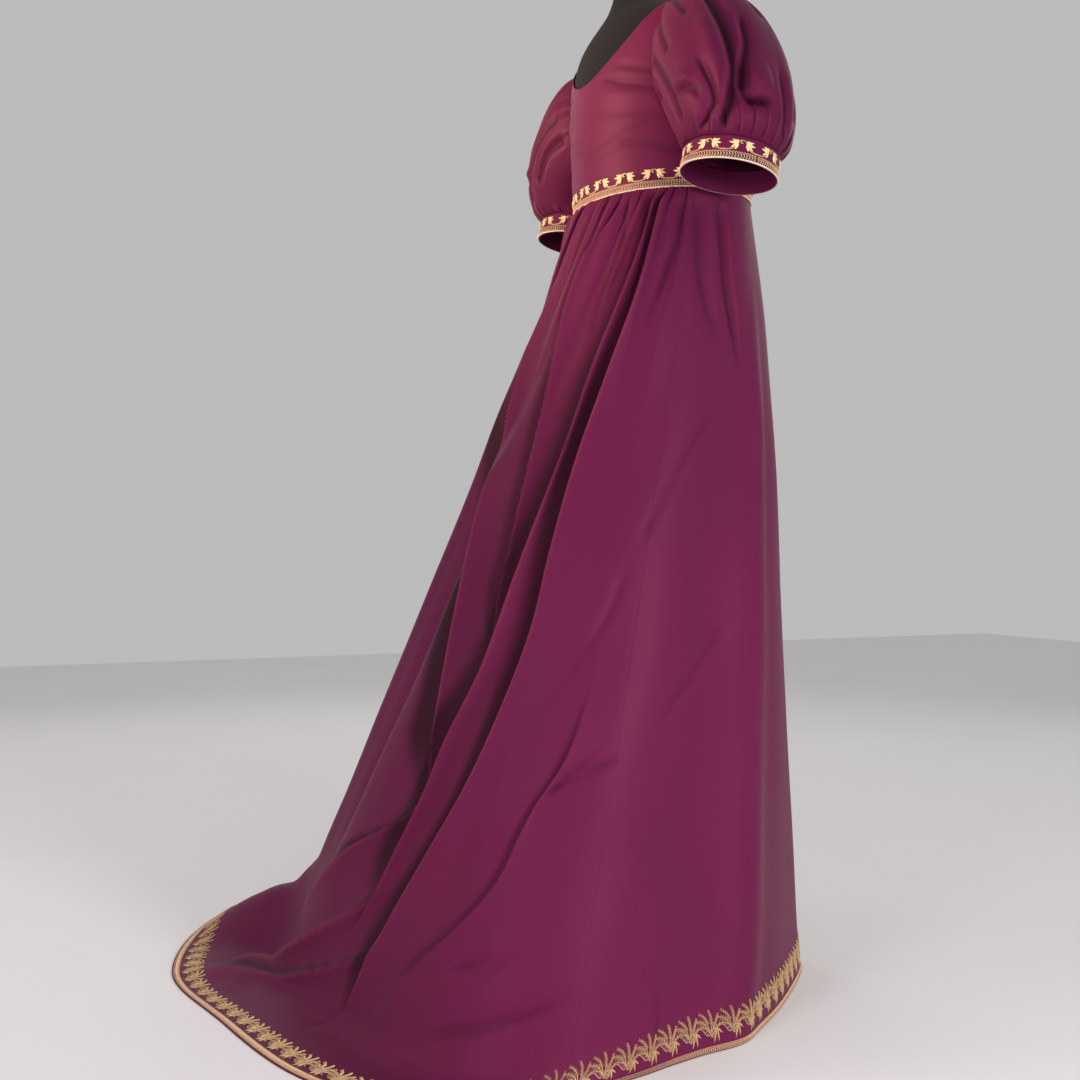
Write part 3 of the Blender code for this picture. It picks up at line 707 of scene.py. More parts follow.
def skirt_base(turns, shares):
    """Lines of the skirt without folds. Height along a line: (l + sqrt(l² + 4r²)) / 2, where l is
    the straight fall's height and r the rounding; then the points at equal shares of its length.
    Shares 0 to 1 run from the waist to the top of the hem band, and 1 to 2 count the band."""
    angle = np.radians(turns)
    waist = np.stack((-SKIRT_WAIST[0] * np.sin(angle), -SKIRT_WAIST[1] * np.cos(angle)), -1)
    hem = np.stack((hem_table(turns, 1), hem_table(turns, 2)), -1)
    reach = np.linalg.norm(hem - waist, axis=1)
    lying = np.maximum(hem_table(turns, 3), 0)
    s = np.linspace(0, 1, 240)[:, None]
    top = WAIST_Z - SEAM
    line = top * (1 - s * reach / (reach - lying))
    height = (line + np.sqrt(line ** 2 + 4 * FLOOR_ROUND ** 2)) / 2
    height = height - height[-1:] * s ** 6 - (height[:1] - top) * (1 - s) ** 6
    belly = hem_table(turns, 4) * s * (1 - s) ** 2 * 27 / 4
    plan = waist + (hem - waist) * (s + belly / reach)[..., None]
    path = np.concatenate((plan, height[..., None]), -1)
    lengths = np.linalg.norm(np.diff(path, axis=0), axis=-1)
    lengths = np.concatenate((np.zeros((1, len(turns))), np.cumsum(lengths, 0)))
    whole = lengths[-1]
    shares = shares[:, None]
    along = np.where(shares <= 1, shares * (whole - HEM_BAND), whole + (shares - 2) * HEM_BAND)
    points = np.stack([read_points(*line) for line in zip(along.T, lengths.T, path.swapaxes(0, 1))], 1)
    return points, along


print("hem outline:", round(float(np.ptp(HEM[:, 1])), 3), "by", round(float(np.ptp(HEM[:, 2])), 3), "m")

# %% [markdown]
# ## Folds
#
# Most folds push a point in or out along the cloth's normal. Long folds are plain swells and troughs
# that wander down the skirt. Pleats are the sharp ones: each rises slowly on its front side to a
# crisp edge, drops off steeply and leaves a shadowed hollow behind it, as the cloth does where it
# tips over. Gathers are the many small ridges under the waist seam, each with its own width, height
# and length. Creases and marks of wear are shallow troughs along a path or a short stretch. The
# train's end stands up from the floor in one soft ridge, which is lifted straight up. Beside its
# rise each fold gives painted light and shade: above zero a painted highlight on its edge, and below
# zero a painted shade in the hollow behind it, in the gathers' valleys, the creases and the marks.
# The satin reads it as a colour, because the real hollows are too narrow and deep for their shade to
# come from the lamps alone.

# %% Long folds and the pleats' edges
# Turn at the waist, half way and at the hem, shares where it begins and ends, rise (a trough is
# negative), half width at the waist and at the hem
FOLDS = np.array((
    (49, 50, 58, 0.08, 1.10, 0.010, 0.014, 0.045),
    (72, 74, 78, 0.30, 1.10, -0.006, 0.030, 0.060),
    (92, 92, 98, 0.10, 0.80, 0.005, 0.022, 0.080),
    (166, 158, 170, 0.10, 0.84, -0.014, 0.012, 0.035),
    (178, 170, 179, 0.05, 0.88, 0.015, 0.014, 0.040),
    (190, 184, 190, 0.05, 0.82, -0.018, 0.014, 0.040),
    (204, 200, 205, 0.05, 1.10, 0.020, 0.014, 0.045),
    (220, 217, 222, 0.06, 1.00, -0.016, 0.012, 0.035),
    (234, 232, 236, 0.06, 1.10, 0.016, 0.012, 0.040),
    (250, 250, 252, 0.08, 1.00, -0.012, 0.012, 0.040),
    (268, 272, 276, 0.20, 1.10, 0.008, 0.016, 0.050),
    (311, 310, 302, 0.08, 1.10, 0.010, 0.014, 0.045),
))

# Each edge: share of the drop, turn. Columns of the grid run along low, first, second and
# left_guide.
EDGES = {
    "low": ((0.00, 109), (0.30, 108.5), (0.50, 107), (0.60, 107), (0.67, 109), (0.70, 111.5),
            (0.73, 113), (0.78, 115), (0.82, 118.5), (0.85, 121.5), (0.88, 124), (0.94, 127.5),
            (1.00, 128.5)),
    "first": ((0.00, 118), (0.06, 116.5), (0.13, 116.2), (0.21, 117.5), (0.31, 119.5), (0.42, 119.5),
              (0.50, 119), (0.58, 120), (0.69, 122.5), (0.77, 126), (0.82, 128), (0.89, 131),
              (1.00, 134)),
    "second": ((0.00, 124), (0.05, 121.7), (0.10, 121.5), (0.20, 123.3), (0.30, 124.2), (0.42, 125.6),
               (0.54, 126.5), (0.62, 129), (0.68, 130), (0.75, 132.5), (0.79, 134), (0.84, 138),
               (0.90, 142), (1.00, 146)),
    "faint": ((0.00, 144), (0.03, 144.5), (0.07, 150.5), (0.12, 150.5), (0.154, 147.5), (0.224, 141.5),
              (0.304, 136.5), (0.371, 133.5), (0.475, 130), (0.52, 128.5)),
    "left": ((0.06, 178), (0.14, 175), (0.19, 170), (0.234, 163.5), (0.274, 158.5), (0.348, 151),
             (0.42, 145.5), (0.505, 140), (0.575, 136), (0.64, 133.5), (0.70, 132)),
    "left_guide": ((0.00, 150), (0.30, 152), (0.348, 151), (0.42, 145.5), (0.505, 140), (0.575, 136),
                   (0.64, 133.5), (0.68, 135), (0.74, 144.5), (0.79, 152.5), (0.86, 156), (1.00, 158)),
    "slope_foot": ((0.66, 134), (0.71, 137), (0.74, 145.5), (0.79, 153.5), (0.85, 161), (0.91, 168),
                   (1.00, 170)),
    "floor_long": ((0.75, 132), (0.80, 137), (0.845, 146.5), (0.885, 156), (0.935, 161), (0.98, 158.5),
                   (1.00, 158)),
    "floor_low": ((0.84, 126), (0.865, 135), (0.88, 141), (0.91, 150), (0.955, 154.5), (1.00, 155)),
}

print("long folds:", len(FOLDS), " edges:", len(EDGES))

# %% Pleats, creases, the train's ridge and marks of wear
# How far an edge tips over backwards, as a share of its height
PLEAT_TIP = 0.45

# Edge, rise, lengths over which the slope in front falls off at the waist and at the hem, half
# width of the drop behind, depth of the hollow as a share of the rise, its length at the waist and
# at the hem, shares where the pleat begins and ends, and how many rises far its shade reaches
PLEATS = (
    ("first", 0.018, 0.010, 0.060, 0.0035, 1.10, 0.005, 0.018, -0.10, 0.97, 1.2),
    ("second", 0.017, 0.008, 0.022, 0.0035, 1.20, 0.005, 0.018, -0.10, 0.86, 1.7),
    ("faint", 0.012, 0.012, 0.030, 0.0035, 1.10, 0.006, 0.014, -0.05, 0.56, 2.0),
    ("left", 0.017, 0.014, 0.040, 0.0040, 1.20, 0.007, 0.020, 0.16, 0.72, 2.4),
    ("low", 0.006, 0.020, 0.050, 0.0045, 0.40, 0.006, 0.010, 0.56, 0.95, 1.2),
    ("slope_foot", 0.014, 0.020, 0.050, 0.0090, 0.80, 0.010, 0.020, 0.66, 0.90, 1.8),
    ("floor_long", 0.018, 0.022, 0.050, 0.0140, 0.50, 0.014, 0.030, 0.75, 1.04, 0.1),
    ("floor_low", 0.011, 0.022, 0.040, 0.0130, 0.60, 0.014, 0.026, 0.82, 1.06, 1.9),
)

# Rise, half width towards lower and higher turns, then the path: share of the drop, turn. Those
# past 200 degrees, like the last marks of wear, are on the side that the photograph doesn't show.
CREASES = (
    (-0.0080, 0.006, 0.009, ((0.00, 139), (0.03, 137), (0.05, 135.5), (0.10, 135.5), (0.18, 131.5))),
    (-0.0070, 0.010, 0.010, ((0.00, 110), (0.05, 107), (0.10, 109), (0.14, 110.5), (0.20, 112))),
    (-0.0075, 0.013, 0.012, ((0.00, 100), (0.06, 96), (0.09, 93.5), (0.15, 86.5), (0.22, 76))),
    (-0.0100, 0.008, 0.013, ((0.00, 82.5), (0.02, 82), (0.07, 77.5), (0.12, 73), (0.17, 66.5),
                             (0.25, 62))),
    (-0.0030, 0.008, 0.014, ((0.46, 104), (0.52, 107), (0.56, 111), (0.60, 115))),
    (-0.0070, 0.010, 0.010, ((0.00, 252), (0.05, 255), (0.11, 252), (0.19, 249))),
    (-0.0070, 0.012, 0.013, ((0.00, 262), (0.07, 267), (0.14, 275), (0.21, 283))),
    (-0.0090, 0.012, 0.005, ((0.00, 279), (0.04, 281), (0.10, 287), (0.16, 294), (0.24, 298))),
    (-0.0040, 0.014, 0.008, ((0.44, 262), (0.50, 259), (0.56, 255), (0.62, 250))),
    (-0.0060, 0.010, 0.008, ((0.00, 338), (0.06, 336), (0.16, 331), (0.26, 329))),
    (-0.0050, 0.008, 0.010, ((0.00, 16), (0.05, 18), (0.14, 24), (0.24, 27))),
)

# Share of the drop that the hem band counts as, in the tables that run on below it
BAND_SHARE = 0.045

# The ridge at the train's end: its turn, its widths towards lower and higher turns, then share of
# the drop and height off the floor
RIDGE_TURN = 177
RIDGE_WIDTHS = (0.075, 0.120)
TRAIN_RIDGE = np.array(((0.70, 0.000), (0.75, 0.006), (0.80, 0.030), (0.84, 0.064), (0.88, 0.091),
                        (0.92, 0.088), (0.96, 0.065), (1.00, 0.036), (1.03, 0.012),
                        (1 + BAND_SHARE, 0.000)))

# Small marks of wear: depth, half width, turn and share at one end, then at the other. Their length
# is counted with so many metres for one degree of turn and for the whole drop.
DEGREE_LENGTH = 0.011
DROP_LENGTH = 1.4
MARKS = (
    (-0.0040, 0.007, 109.5, 0.688, 104.5, 0.684),
    (-0.0030, 0.006, 109.5, 0.690, 107.0, 0.675),
    (-0.0035, 0.008, 117.0, 0.862, 112.0, 0.866),
    (-0.0025, 0.006, 84.5, 0.965, 84.0, 1.000),
    (-0.0035, 0.014, 117.0, 0.926, 106.0, 0.930),
    (-0.0020, 0.010, 84.0, 0.300, 92.0, 0.420),
    (-0.0020, 0.012, 70.0, 0.560, 80.0, 0.640),
    (-0.0035, 0.008, 262.0, 0.700, 268.5, 0.692),
    (-0.0030, 0.009, 285.0, 0.340, 279.0, 0.460),
    (-0.0025, 0.012, 300.0, 0.600, 292.0, 0.660),
    (-0.0035, 0.008, 236.0, 0.840, 244.0, 0.850),
    (-0.0028, 0.006, 318.0, 0.955, 318.5, 0.995),
    (-0.0022, 0.010, 8.0, 0.420, 14.0, 0.520),
)


print("pleats:", len(PLEATS), " creases:", len(CREASES), " marks:", len(MARKS))

# %% Gathers under the seam


def gather_wave(turn, drop):
    """Ridges (0.5 - 0.5 cos)^0.7 of unequal width, so that the valleys are narrow; a slow sine
    stretches the count. Each swells below the seam and dies at its own depth as e^-(drop/depth)²,
    and ridges twice as wide take over lower down."""
    even = np.abs(turn - 180) * GATHERS_PER_PANEL / (180 - SIDE_BACK_TURN)
    side = np.sign(turn - 180)
    drift = 0.10 * np.sin(0.21 * turn + drop * 14) * np.clip(drop / 0.08, 0, 1)
    count = even + 0.24 * np.sin(2.1 * even + side) + 0.08 * np.sin(5.1 * even + 1) + drift
    behind = smooth_step((GATHERS_PER_PANEL - even) / 1.2)
    number = np.floor(count)
    height = 0.62 + 0.38 * np.sin(2.4 * number + 0.6 * side)
    depth = 0.085 + 0.055 * np.sin(3.7 * number + 1.1 * side)
    small = (0.5 - 0.5 * np.cos(2 * np.pi * count)) ** 0.7
    swell = 0.35 + 0.65 * smooth_step(drop / 0.022)
    small = small * height * swell * np.exp(-(drop / depth) ** 2)
    wide = (0.5 - 0.5 * np.cos(np.pi * count)) ** 0.9
    wide = wide * smooth_step(drop / 0.10) * np.exp(-(drop / 0.30) ** 2) * 0.75
    puckers = 0.0010 * np.sin(6 * np.pi * count + number) * np.exp(-drop / 0.020)
    # Painted shade down the narrow valleys between the gathers, fading lower down.
    valley = np.sin(np.pi * count) ** 2
    press = -0.8 * behind * bell(valley / 0.10) * np.exp(-drop / 0.09) * smooth_step(drop / 0.004)
    return behind * (GATHER_RISE * (small + wide) + puckers), press


print("gathers:", 2 * GATHERS_PER_PANEL, "up to", GATHER_RISE * 1000, "mm high")

# %% All the folds together


def path_turn(path, part):
    """Turn of a path at each share of the drop: a smooth curve through its rows."""
    return through(*np.array(path, float).T, part)


def stroke(x, y, way):
    """Distance aside from a straight stretch that starts at 0, and distance past its ends."""
    length = math.hypot(*way)
    along = (x * way[0] + y * way[1]) / length
    aside = (y * way[0] - x * way[1]) / length
    return aside, np.maximum(np.maximum(-along, along - length), 0)


def fold_rise(turn, part, spread):
    """Sum of the folds, with x the distance along the cloth from a fold's line: rise x window x
    bell(x / width). A pleat is e^-(x / front) before its edge, and (1 + h) bell(x / drop) -
    h e^-(x / hollow) behind it, and it tips over backwards by a share of its own height. The
    painted light and shade is +1, a painted highlight, on a pleat's edge and -1, a painted shade,
    behind it, as far as its tipped edge reaches over, and below zero, a painted shade, in creases and
    marks."""
    rise, tip, press = np.zeros_like(part), np.zeros_like(part), np.zeros_like(part)
    for top, middle, bottom, begin, end, size, narrow, wide in FOLDS:
        bend = 2 * (top + bottom - 2 * middle)
        centre = top + (bottom - top) * part - bend * part * (1 - part)
        grown = smooth_step((part - begin) / 0.22) * smooth_step((end - part) / 0.15)
        rise += size * grown * bell((turn - centre) * spread / (narrow + (wide - narrow) * part))
    for edge, size, front, front_low, steep, hollow, back, back_low, begin, end, shaded in PLEATS:
        x = (turn - path_turn(EDGES[edge], part)) * spread
        grown = smooth_step((part - begin) / 0.10) * smooth_step((end - part) / 0.12)
        grown = grown * (0.45 + 0.55 * smooth_step(part / 0.25))
        far = np.sqrt(x * x + 4e-6) - 0.002
        slope = np.exp(-far / (front + (front_low - front) * part))
        dropped = ((1 + hollow) * bell(x / (steep * (1 + 0.8 * part)))
                   - hollow * np.exp(-far / (back + (back_low - back) * part)))
        pleat = size * grown * np.where(x < 0, slope, dropped)
        rise += pleat
        tip += PLEAT_TIP * pleat
        # Painted highlight on the pleat's edge, and painted shade behind it as far as the tipped edge hides and a
        # little beyond.
        seen = grown * min(1, size / 0.016)
        hidden = shaded * size * grown * (1 + 1.6 * part ** 2)
        shade = smooth_step(2 * x / steep) * (1 - smooth_step((x - hidden) / (0.5 * hidden + 0.003)))
        press += seen * (bell((x + 0.35 * steep) / (0.42 * steep)) - shade)
    for size, front, back, path in CREASES:
        x = (turn - path_turn(path, part)) * spread
        begin, end = path[0][0], path[-1][0]
        window = smooth_step((part - begin) / 0.06 + 0.3) * smooth_step((end - part) / 0.10)
        rise += size * window * bell(x / np.where(x < 0, front, back))
        # Painted shade along the crease's trough.
        press += window * np.clip(size / 0.010, -1, 0) * 0.6 * bell(x / (0.5 * min(front, back)))
    for size, width, turn_a, part_a, turn_b, part_b in MARKS:
        way = ((turn_b - turn_a) * DEGREE_LENGTH, (part_b - part_a) * DROP_LENGTH)
        aside, past = stroke((turn - turn_a) * spread, (part - part_a) * DROP_LENGTH, way)
        rise += size * bell(aside / width) * bell(past / 0.015)
        # Painted shade along the mark's trough.
        press += size / 0.009 * bell(aside / (0.6 * width)) * bell(past / 0.012)
    return rise, tip, press


def train_lift(turn, part, spread):
    """Straight up: the ridge's height x bell(distance from its line / width)."""
    x = (turn - RIDGE_TURN) * spread
    return through(*TRAIN_RIDGE.T, part) * bell(x / np.where(x < 0, *RIDGE_WIDTHS))


def drape(points):
    """Slow uneven sway of hanging cloth: three crossed sine waves, 1.6 mm at most."""
    x, y, z = points[..., 0], points[..., 1], points[..., 2]
    return (0.0007 * np.sin(31 * x + 17 * z + 2.0 * np.sin(9 * y))
            + 0.0006 * np.sin(27 * y - 13 * z + 1.5 * np.sin(14 * x))
            + 0.0003 * np.sin(83 * x + 61 * y + 23 * z))


print("the train's ridge stands", TRAIN_RIDGE[:, 1].max(), "m off the floor")

# %% [markdown]
# ## Skirt panels
#
# One surface is worked out for the whole skirt and then cut into its five panels, so that the folds
# run on across the seams. A sewn edge rolls inwards, so each panel's last columns are crowded
# together and pushed in by a hair, which draws the seam as a fine line.

# %% Columns and rows of the skirt's grid
SEAM_TURNS = (PLACKET_TURN, SIDE_BACK_TURN, 180, 360 - SIDE_BACK_TURN, 360 - PLACKET_TURN)
# Name and columns of each panel
PANELS = (("side_right", 68), ("back_right", 226), ("back_left", 150), ("side_left", 56),
          ("front", 60))
# Rows of the gathered top, of the rest and of the hem band, and how far down the top reaches
TOP_ROWS = 59
LOWER_ROWS = 94
BAND_ROWS = 11
TOP_SHARE = 0.28
# Turn, columns to a degree as a ratio: the pleats need the finest grid
CROWD = np.array(((0, 1.0), (105, 1.2), (108, 2.2), (112, 2.0), (116, 3.2), (125, 3.0), (132, 1.0),
                  (142, 0.9), (148, 2.2), (156, 2.0), (180, 1.2), (400, 1.0)))


def panel_turns(first, last, columns):
    """Turns crowded where CROWD is high, with four close ones at either seam."""
    fine = np.linspace(first, last, 2000)
    crowd = np.cumsum(np.interp(fine, CROWD[:, 0], CROWD[:, 1]))
    inside = np.interp(np.linspace(crowd[0], crowd[-1], columns + 1)[1:-1], crowd, fine)
    edge = (inside[0] - first) * np.array((0.0, 0.12, 0.3, 0.6))
    return np.concatenate((first + edge, inside, (last - edge)[::-1]))


spans = [(a, b if b > a else b + 360) for a, b in zip(SEAM_TURNS, np.roll(SEAM_TURNS, -1))]
turn_sets = [panel_turns(a, b, n) for (a, b), (_, n) in zip(spans, PANELS)]
column_turns = np.concatenate([t[:-1] for t in turn_sets]) % 360
skirt_shares = np.concatenate((np.linspace(0, 1, TOP_ROWS) ** 1.35 * TOP_SHARE,
                               np.linspace(TOP_SHARE, 1, LOWER_ROWS)[1:],
                               np.linspace(1, 2, BAND_ROWS)[1:]))
skirt_parts = np.minimum(skirt_shares, 1) + BAND_SHARE * np.maximum(skirt_shares - 1, 0)


print("skirt grid:", len(skirt_shares), "rows,", len(column_turns), "columns")

# %% The whole skirt


def guided_turns(columns, parts):
    """Turn of every grid point: columns lean so that four of them run along the pleats' edges."""
    paths = [EDGES[name] for name in ("low", "first", "second", "left_guide")]
    still = (0, SIDE_BACK_TURN, *(path[0][1] for path in paths), 180, 360)
    moved = np.stack([path_turn(path, np.minimum(parts, 1)) for path in paths], -1)
    return np.array([np.interp(columns, still, (0, SIDE_BACK_TURN, *row, 180, 360)) for row in moved])


def skirt_surface(columns, shares, parts):
    """Base, plus the folds, the gathers and the drape along the normals and the pleats' tips
    across. All is kept above the floor, then the train's ridge is lifted and the hem laid flat."""
    turn = guided_turns(columns, parts)
    even = np.arange(0, 361, 0.25)
    base, even_drop = skirt_base(even, shares)
    drop = np.array([np.interp(row, even, place) for row, place in zip(turn, even_drop)])
    points = np.array([read_points(row, even, place) for row, place in zip(turn, base)])
    steps = np.linalg.norm(np.roll(points, -1, 1) - np.roll(points, 1, 1), axis=-1)
    spread = steps / ((np.roll(turn, -1, 1) - np.roll(turn, 1, 1)) % 360)
    rise, tip, press = fold_rise(turn, np.broadcast_to(parts[:, None], turn.shape), spread)
    from_seam = smooth_step(drop / 0.03)
    gathers, valleys = gather_wave(turn, drop)
    rise = rise * from_seam + gathers + drape(points) * smooth_step(drop / 0.2)
    points = (points + grid_normals(points, True) * rise[..., None]
              + across_tangents(points, True) * (tip * from_seam)[..., None])
    points[0, :, 2] = WAIST_Z - SEAM
    points[..., 2] = np.maximum(points[..., 2], 0) + train_lift(turn, parts[:, None], spread)
    band_edge = smooth_step((shares[:, None] - 1.5) / 0.5)
    points[..., 2] -= np.maximum(points[..., 2] - HEM_LIFT, 0) * band_edge
    normals = grid_normals(points, True)
    normals[0, :, 2] = 0
    normals = unit(normals)
    points[..., 2] = np.maximum(points[..., 2], CLOTH * np.maximum(normals[..., 2], 0))
    # Painted light and shade of the folds, and the painted shade of the gathers' valleys.
    return points, normals, drop, press * from_seam + valleys


skirt_points, skirt_normals, skirt_drop, skirt_painted_shading = skirt_surface(
    column_turns, skirt_shares, skirt_parts)


print("skirt spans", np.round(np.ptp(skirt_points, axis=(0, 1)), 3), "m")

# %% Cut the skirt into panels


def skirt_panel(index):
    """Columns of one panel; its edges roll in by a hair, and part where the placket opens."""
    name = PANELS[index][0]
    start = sum(len(t) - 1 for t in turn_sets[:index])
    columns = np.arange(start, start + len(turn_sets[index])) % len(column_turns)
    outer, normals = skirt_points[:, columns].copy(), skirt_normals[:, columns]
    drop = skirt_drop[:, columns]
    for edge, inwards, seam in ((0, 1, spans[index][0]), (-1, -1, spans[index][1])):
        near = [edge + inwards * k for k in range(4)]
        from_waist = smooth_step(drop[:, near] / 0.01)
        for k, depth in enumerate(SEAM_ROLL):
            outer[:, near[k]] -= normals[:, near[k]] * depth * from_waist[:, k, None]
        way = outer[:, near[3]] - outer[:, edge]
        along = tangents(outer[:, edge])
        way = unit(way - along * np.einsum("ij,ij->i", way, along)[:, None])
        gap = np.full(len(outer), STITCH_GAP / 2)
        if seam % 360 in (PLACKET_TURN, 360 - PLACKET_TURN):
            gap += PLACKET_GAP / 2 * np.clip(1 - drop[:, edge] / PLACKET_LENGTH, 0, 1)
        outer[:, near] += (way * gap[:, None])[:, None]
    inner = outer - normals * CLOTH
    for sheet in (outer, inner):
        sheet[..., 2] = np.maximum(sheet[..., 2], 0)
    inner[0, :, 2] = WAIST_Z - SEAM
    held = "gathered" if name.startswith("back") else "draped"
    piece = grid_wall("skirt_" + name + "_satin", outer, inner)
    mark_painted_shading(piece, skirt_painted_shading[:, columns])
    cloth(piece, ["skirt_" + name], cut_size(outer), held)


for panel_index in range(len(PANELS)):
    skirt_panel(panel_index)

# %% [markdown]
# ## The bodice
#
# Front and back are each half patches, mirrored. A half patch has the centre line and the neckline
# on one side, the side seam and the armhole on the other, the waist seam below and the shoulder
# seam on top. It lies a little off the figure, and the drag lines that pull from the bust and the
# shoulder blade towards the armhole are shallow troughs in it.

# %% Tables of the armhole and the necklines
TRIM_HEIGHT = 0.027
BRAID_HEIGHT = 0.011
BODICE_ROLL = (0.0001, 0.0004, 0.0010)

# Clock angle (0 top, 90 back), degrees of turn behind the side line, height
ARMHOLE = np.array((
    (0, 0, 1.4500),
    (45, 27, 1.4330),
    (90, 38, 1.3720),
    (135, 30, 1.2880),
    (180, 0, 1.2380),
    (225, -26, 1.2740),
    (270, -33, 1.3450),
    (315, -24, 1.4240),
))
# Share of the way from the middle to the shoulder seam, turn from the middle, height
NECK_BACK = np.array((
    (0.00, 0, 1.3690),
    (0.10, 7, 1.3706),
    (0.20, 15, 1.3790),
    (0.40, 31, 1.4040),
    (0.58, 45, 1.4310),
    (0.74, 59, 1.4490),
    (0.88, 74, 1.4600),
    (1.00, 90, 1.4660),
))
NECK_FRONT = np.array((
    (0.00, 0, 1.3200),
    (0.18, 16, 1.3270),
    (0.34, 30, 1.3460),
    (0.47, 39, 1.3720),
    (0.60, 47, 1.4050),
    (0.74, 59, 1.4380),
    (0.88, 74, 1.4560),
    (1.00, 90, 1.4660),
))
# Drag lines of the back and of the front: depth, half width, turn from the middle and height of
# one end, then of the other. A degree of turn is so many metres on the body, and the painted shade
# in a drag line grows by so much for a metre of depth.
DRAG_DEGREE = 0.0027
DRAG_PAINTED_SHADE = 260
DRAGS = {
    "back": ((0.0018, 0.005, 22, 1.360, 70, 1.322), (0.0014, 0.005, 32, 1.372, 66, 1.342),
             (0.0012, 0.004, 30, 1.346, 64, 1.318), (0.0009, 0.006, 14, 1.315, 60, 1.290),
             (0.0010, 0.004, 8, 1.262, 46, 1.284), (0.0008, 0.004, 4, 1.244, 40, 1.262),
             (0.0010, 0.004, 6, 1.212, 60, 1.206), (0.0010, 0.006, 34, 1.262, 70, 1.240),
             (-0.0010, 0.006, 20, 1.338, 70, 1.306)),
    "front": ((0.0014, 0.007, 34, 1.330, 70, 1.300), (0.0010, 0.006, 42, 1.356, 66, 1.335),
              (0.0012, 0.006, 30, 1.262, 74, 1.250), (-0.0008, 0.008, 24, 1.300, 60, 1.280)),
}


print("drag lines:", {side: len(lines) for side, lines in DRAGS.items()})

# %% Half patches and drag lines


def armhole(clock):
    """Turn behind the side line and height at a clock angle, on a smooth closed curve."""
    return (through(ARMHOLE[:, 0], ARMHOLE[:, k], clock, 360) for k in (1, 2))


def bodice_patch(neck, facing):
    """(turn, height) of a half patch. Row s runs 0 to 17: the outer side climbs the side seam to 5
    and the armhole to 17, the inner side climbs the centre line to 9 and the neckline to 17."""
    s = np.linspace(0, 17, 17 * 6 + 1)
    under_arm = ARMHOLE[4, 2]
    trim_top = WAIST_Z + TRIM_HEIGHT
    seam = (WAIST_Z, WAIST_Z + BRAID_HEIGHT, trim_top, trim_top + (under_arm - trim_top) / 3,
            trim_top + (under_arm - trim_top) * 2 / 3, under_arm)
    behind, height = armhole(180 - facing * (s - 5) * 15)
    outer_turn = np.where(s <= 5, 90, 90 - np.abs(behind))
    outer_height = np.where(s <= 5, np.interp(s, np.arange(6), seam), height)
    middle = np.interp(s, (0, 1, 2, 3, 4, 5, 9), seam + (neck[0, 2],))
    share = np.clip((s - 9) / 8, 0, 1)
    inner_turn = np.where(s < 9, 0, through(neck[:, 0], neck[:, 1], share))
    inner_height = np.where(s < 9, middle, through(neck[:, 0], neck[:, 2], share))
    across = np.linspace(0, 1, 57)
    turn = inner_turn[:, None] + (outer_turn - inner_turn)[:, None] * across
    level = inner_height[:, None] + (outer_height - inner_height)[:, None] * across
    return turn, level, int(np.searchsorted(s, 9 + 1e-6))


def drag_lines(turn, level, table):
    """Each drag line is a trough along a straight stretch: depth x bell(distance / width)."""
    rise = np.zeros_like(turn)
    for depth, width, turn_a, height_a, turn_b, height_b in table:
        way = ((turn_b - turn_a) * DRAG_DEGREE, height_b - height_a)
        aside, past = stroke((turn - turn_a) * DRAG_DEGREE, level - height_a, way)
        rise -= depth * bell(aside / width) * bell(past / 0.012)
    return rise


print("half patch:", bodice_patch(NECK_BACK, 1)[0].shape, "rows and columns")

# %% Cut the bodice
for side_name, neck, facing in (("back", NECK_BACK, 1), ("front", NECK_FRONT, -1)):
    turn, level, joined = bodice_patch(neck, facing)
    rows, columns = turn.shape
    rise = drag_lines(turn, level, DRAGS[side_name])
    # Painted shade in the drag lines' troughs, the deeper the darker.
    press = np.minimum(rise, 0) * DRAG_PAINTED_SHADE
    edge_roll = np.zeros(columns)
    edge_roll[-3:] = BODICE_ROLL
    out = EASE + CLOTH + rise * smooth_step((level - WAIST_Z) / 0.03) - edge_roll
    halves = []
    for sheet_out in (out, np.full_like(out, EASE)):
        right = off_body(180 - turn if facing > 0 else turn, level, sheet_out)
        right[..., 1] += np.where(turn > 89.5, facing * SEAM / 2, 0)
        right[0, :, 2] = WAIST_Z
        right[:joined, 0, 0] = 0
        halves.append(np.concatenate((right.reshape(-1, 3), right.reshape(-1, 3) * (-1, 1, 1))))
    skin = triangles(rows, columns)
    other = skin[:, ::-1]
    on_middle = (other % columns == 0) & (other // columns < joined)
    other = np.where(on_middle, other, other + turn.size)
    half = halves[0][:turn.size].reshape(rows, columns, 3)
    uv, _ = plan(half)
    uv = np.concatenate((uv, uv * (-1, 1)))
    width, length, area = cut_size(half)
    piece = wall("bodice_" + side_name + "_satin", halves[0], halves[1],
                 np.concatenate((skin, other)), uv)
    mark_painted_shading(piece, np.stack((press, press)))
    cloth(piece, ["bodice_" + side_name], (2 * width, length, 2 * area))

# %% [markdown]
# ## Puff sleeves
#
# Every strand of a puff leaves the armhole outwards, swells, and comes back down to the cuff, so it
# is a cubic curve with one handle at each end. Small flat pleats are set into both ends, soft ridges
# run along the strands, and the deep folds are paths in a table: each has a width on either side, so
# that one bank is steep and the other long. A painted shade makes the sleeves a little darker than
# the bodice beside them, and painted highlights and shades mark their pleats, folds and armhole seam.

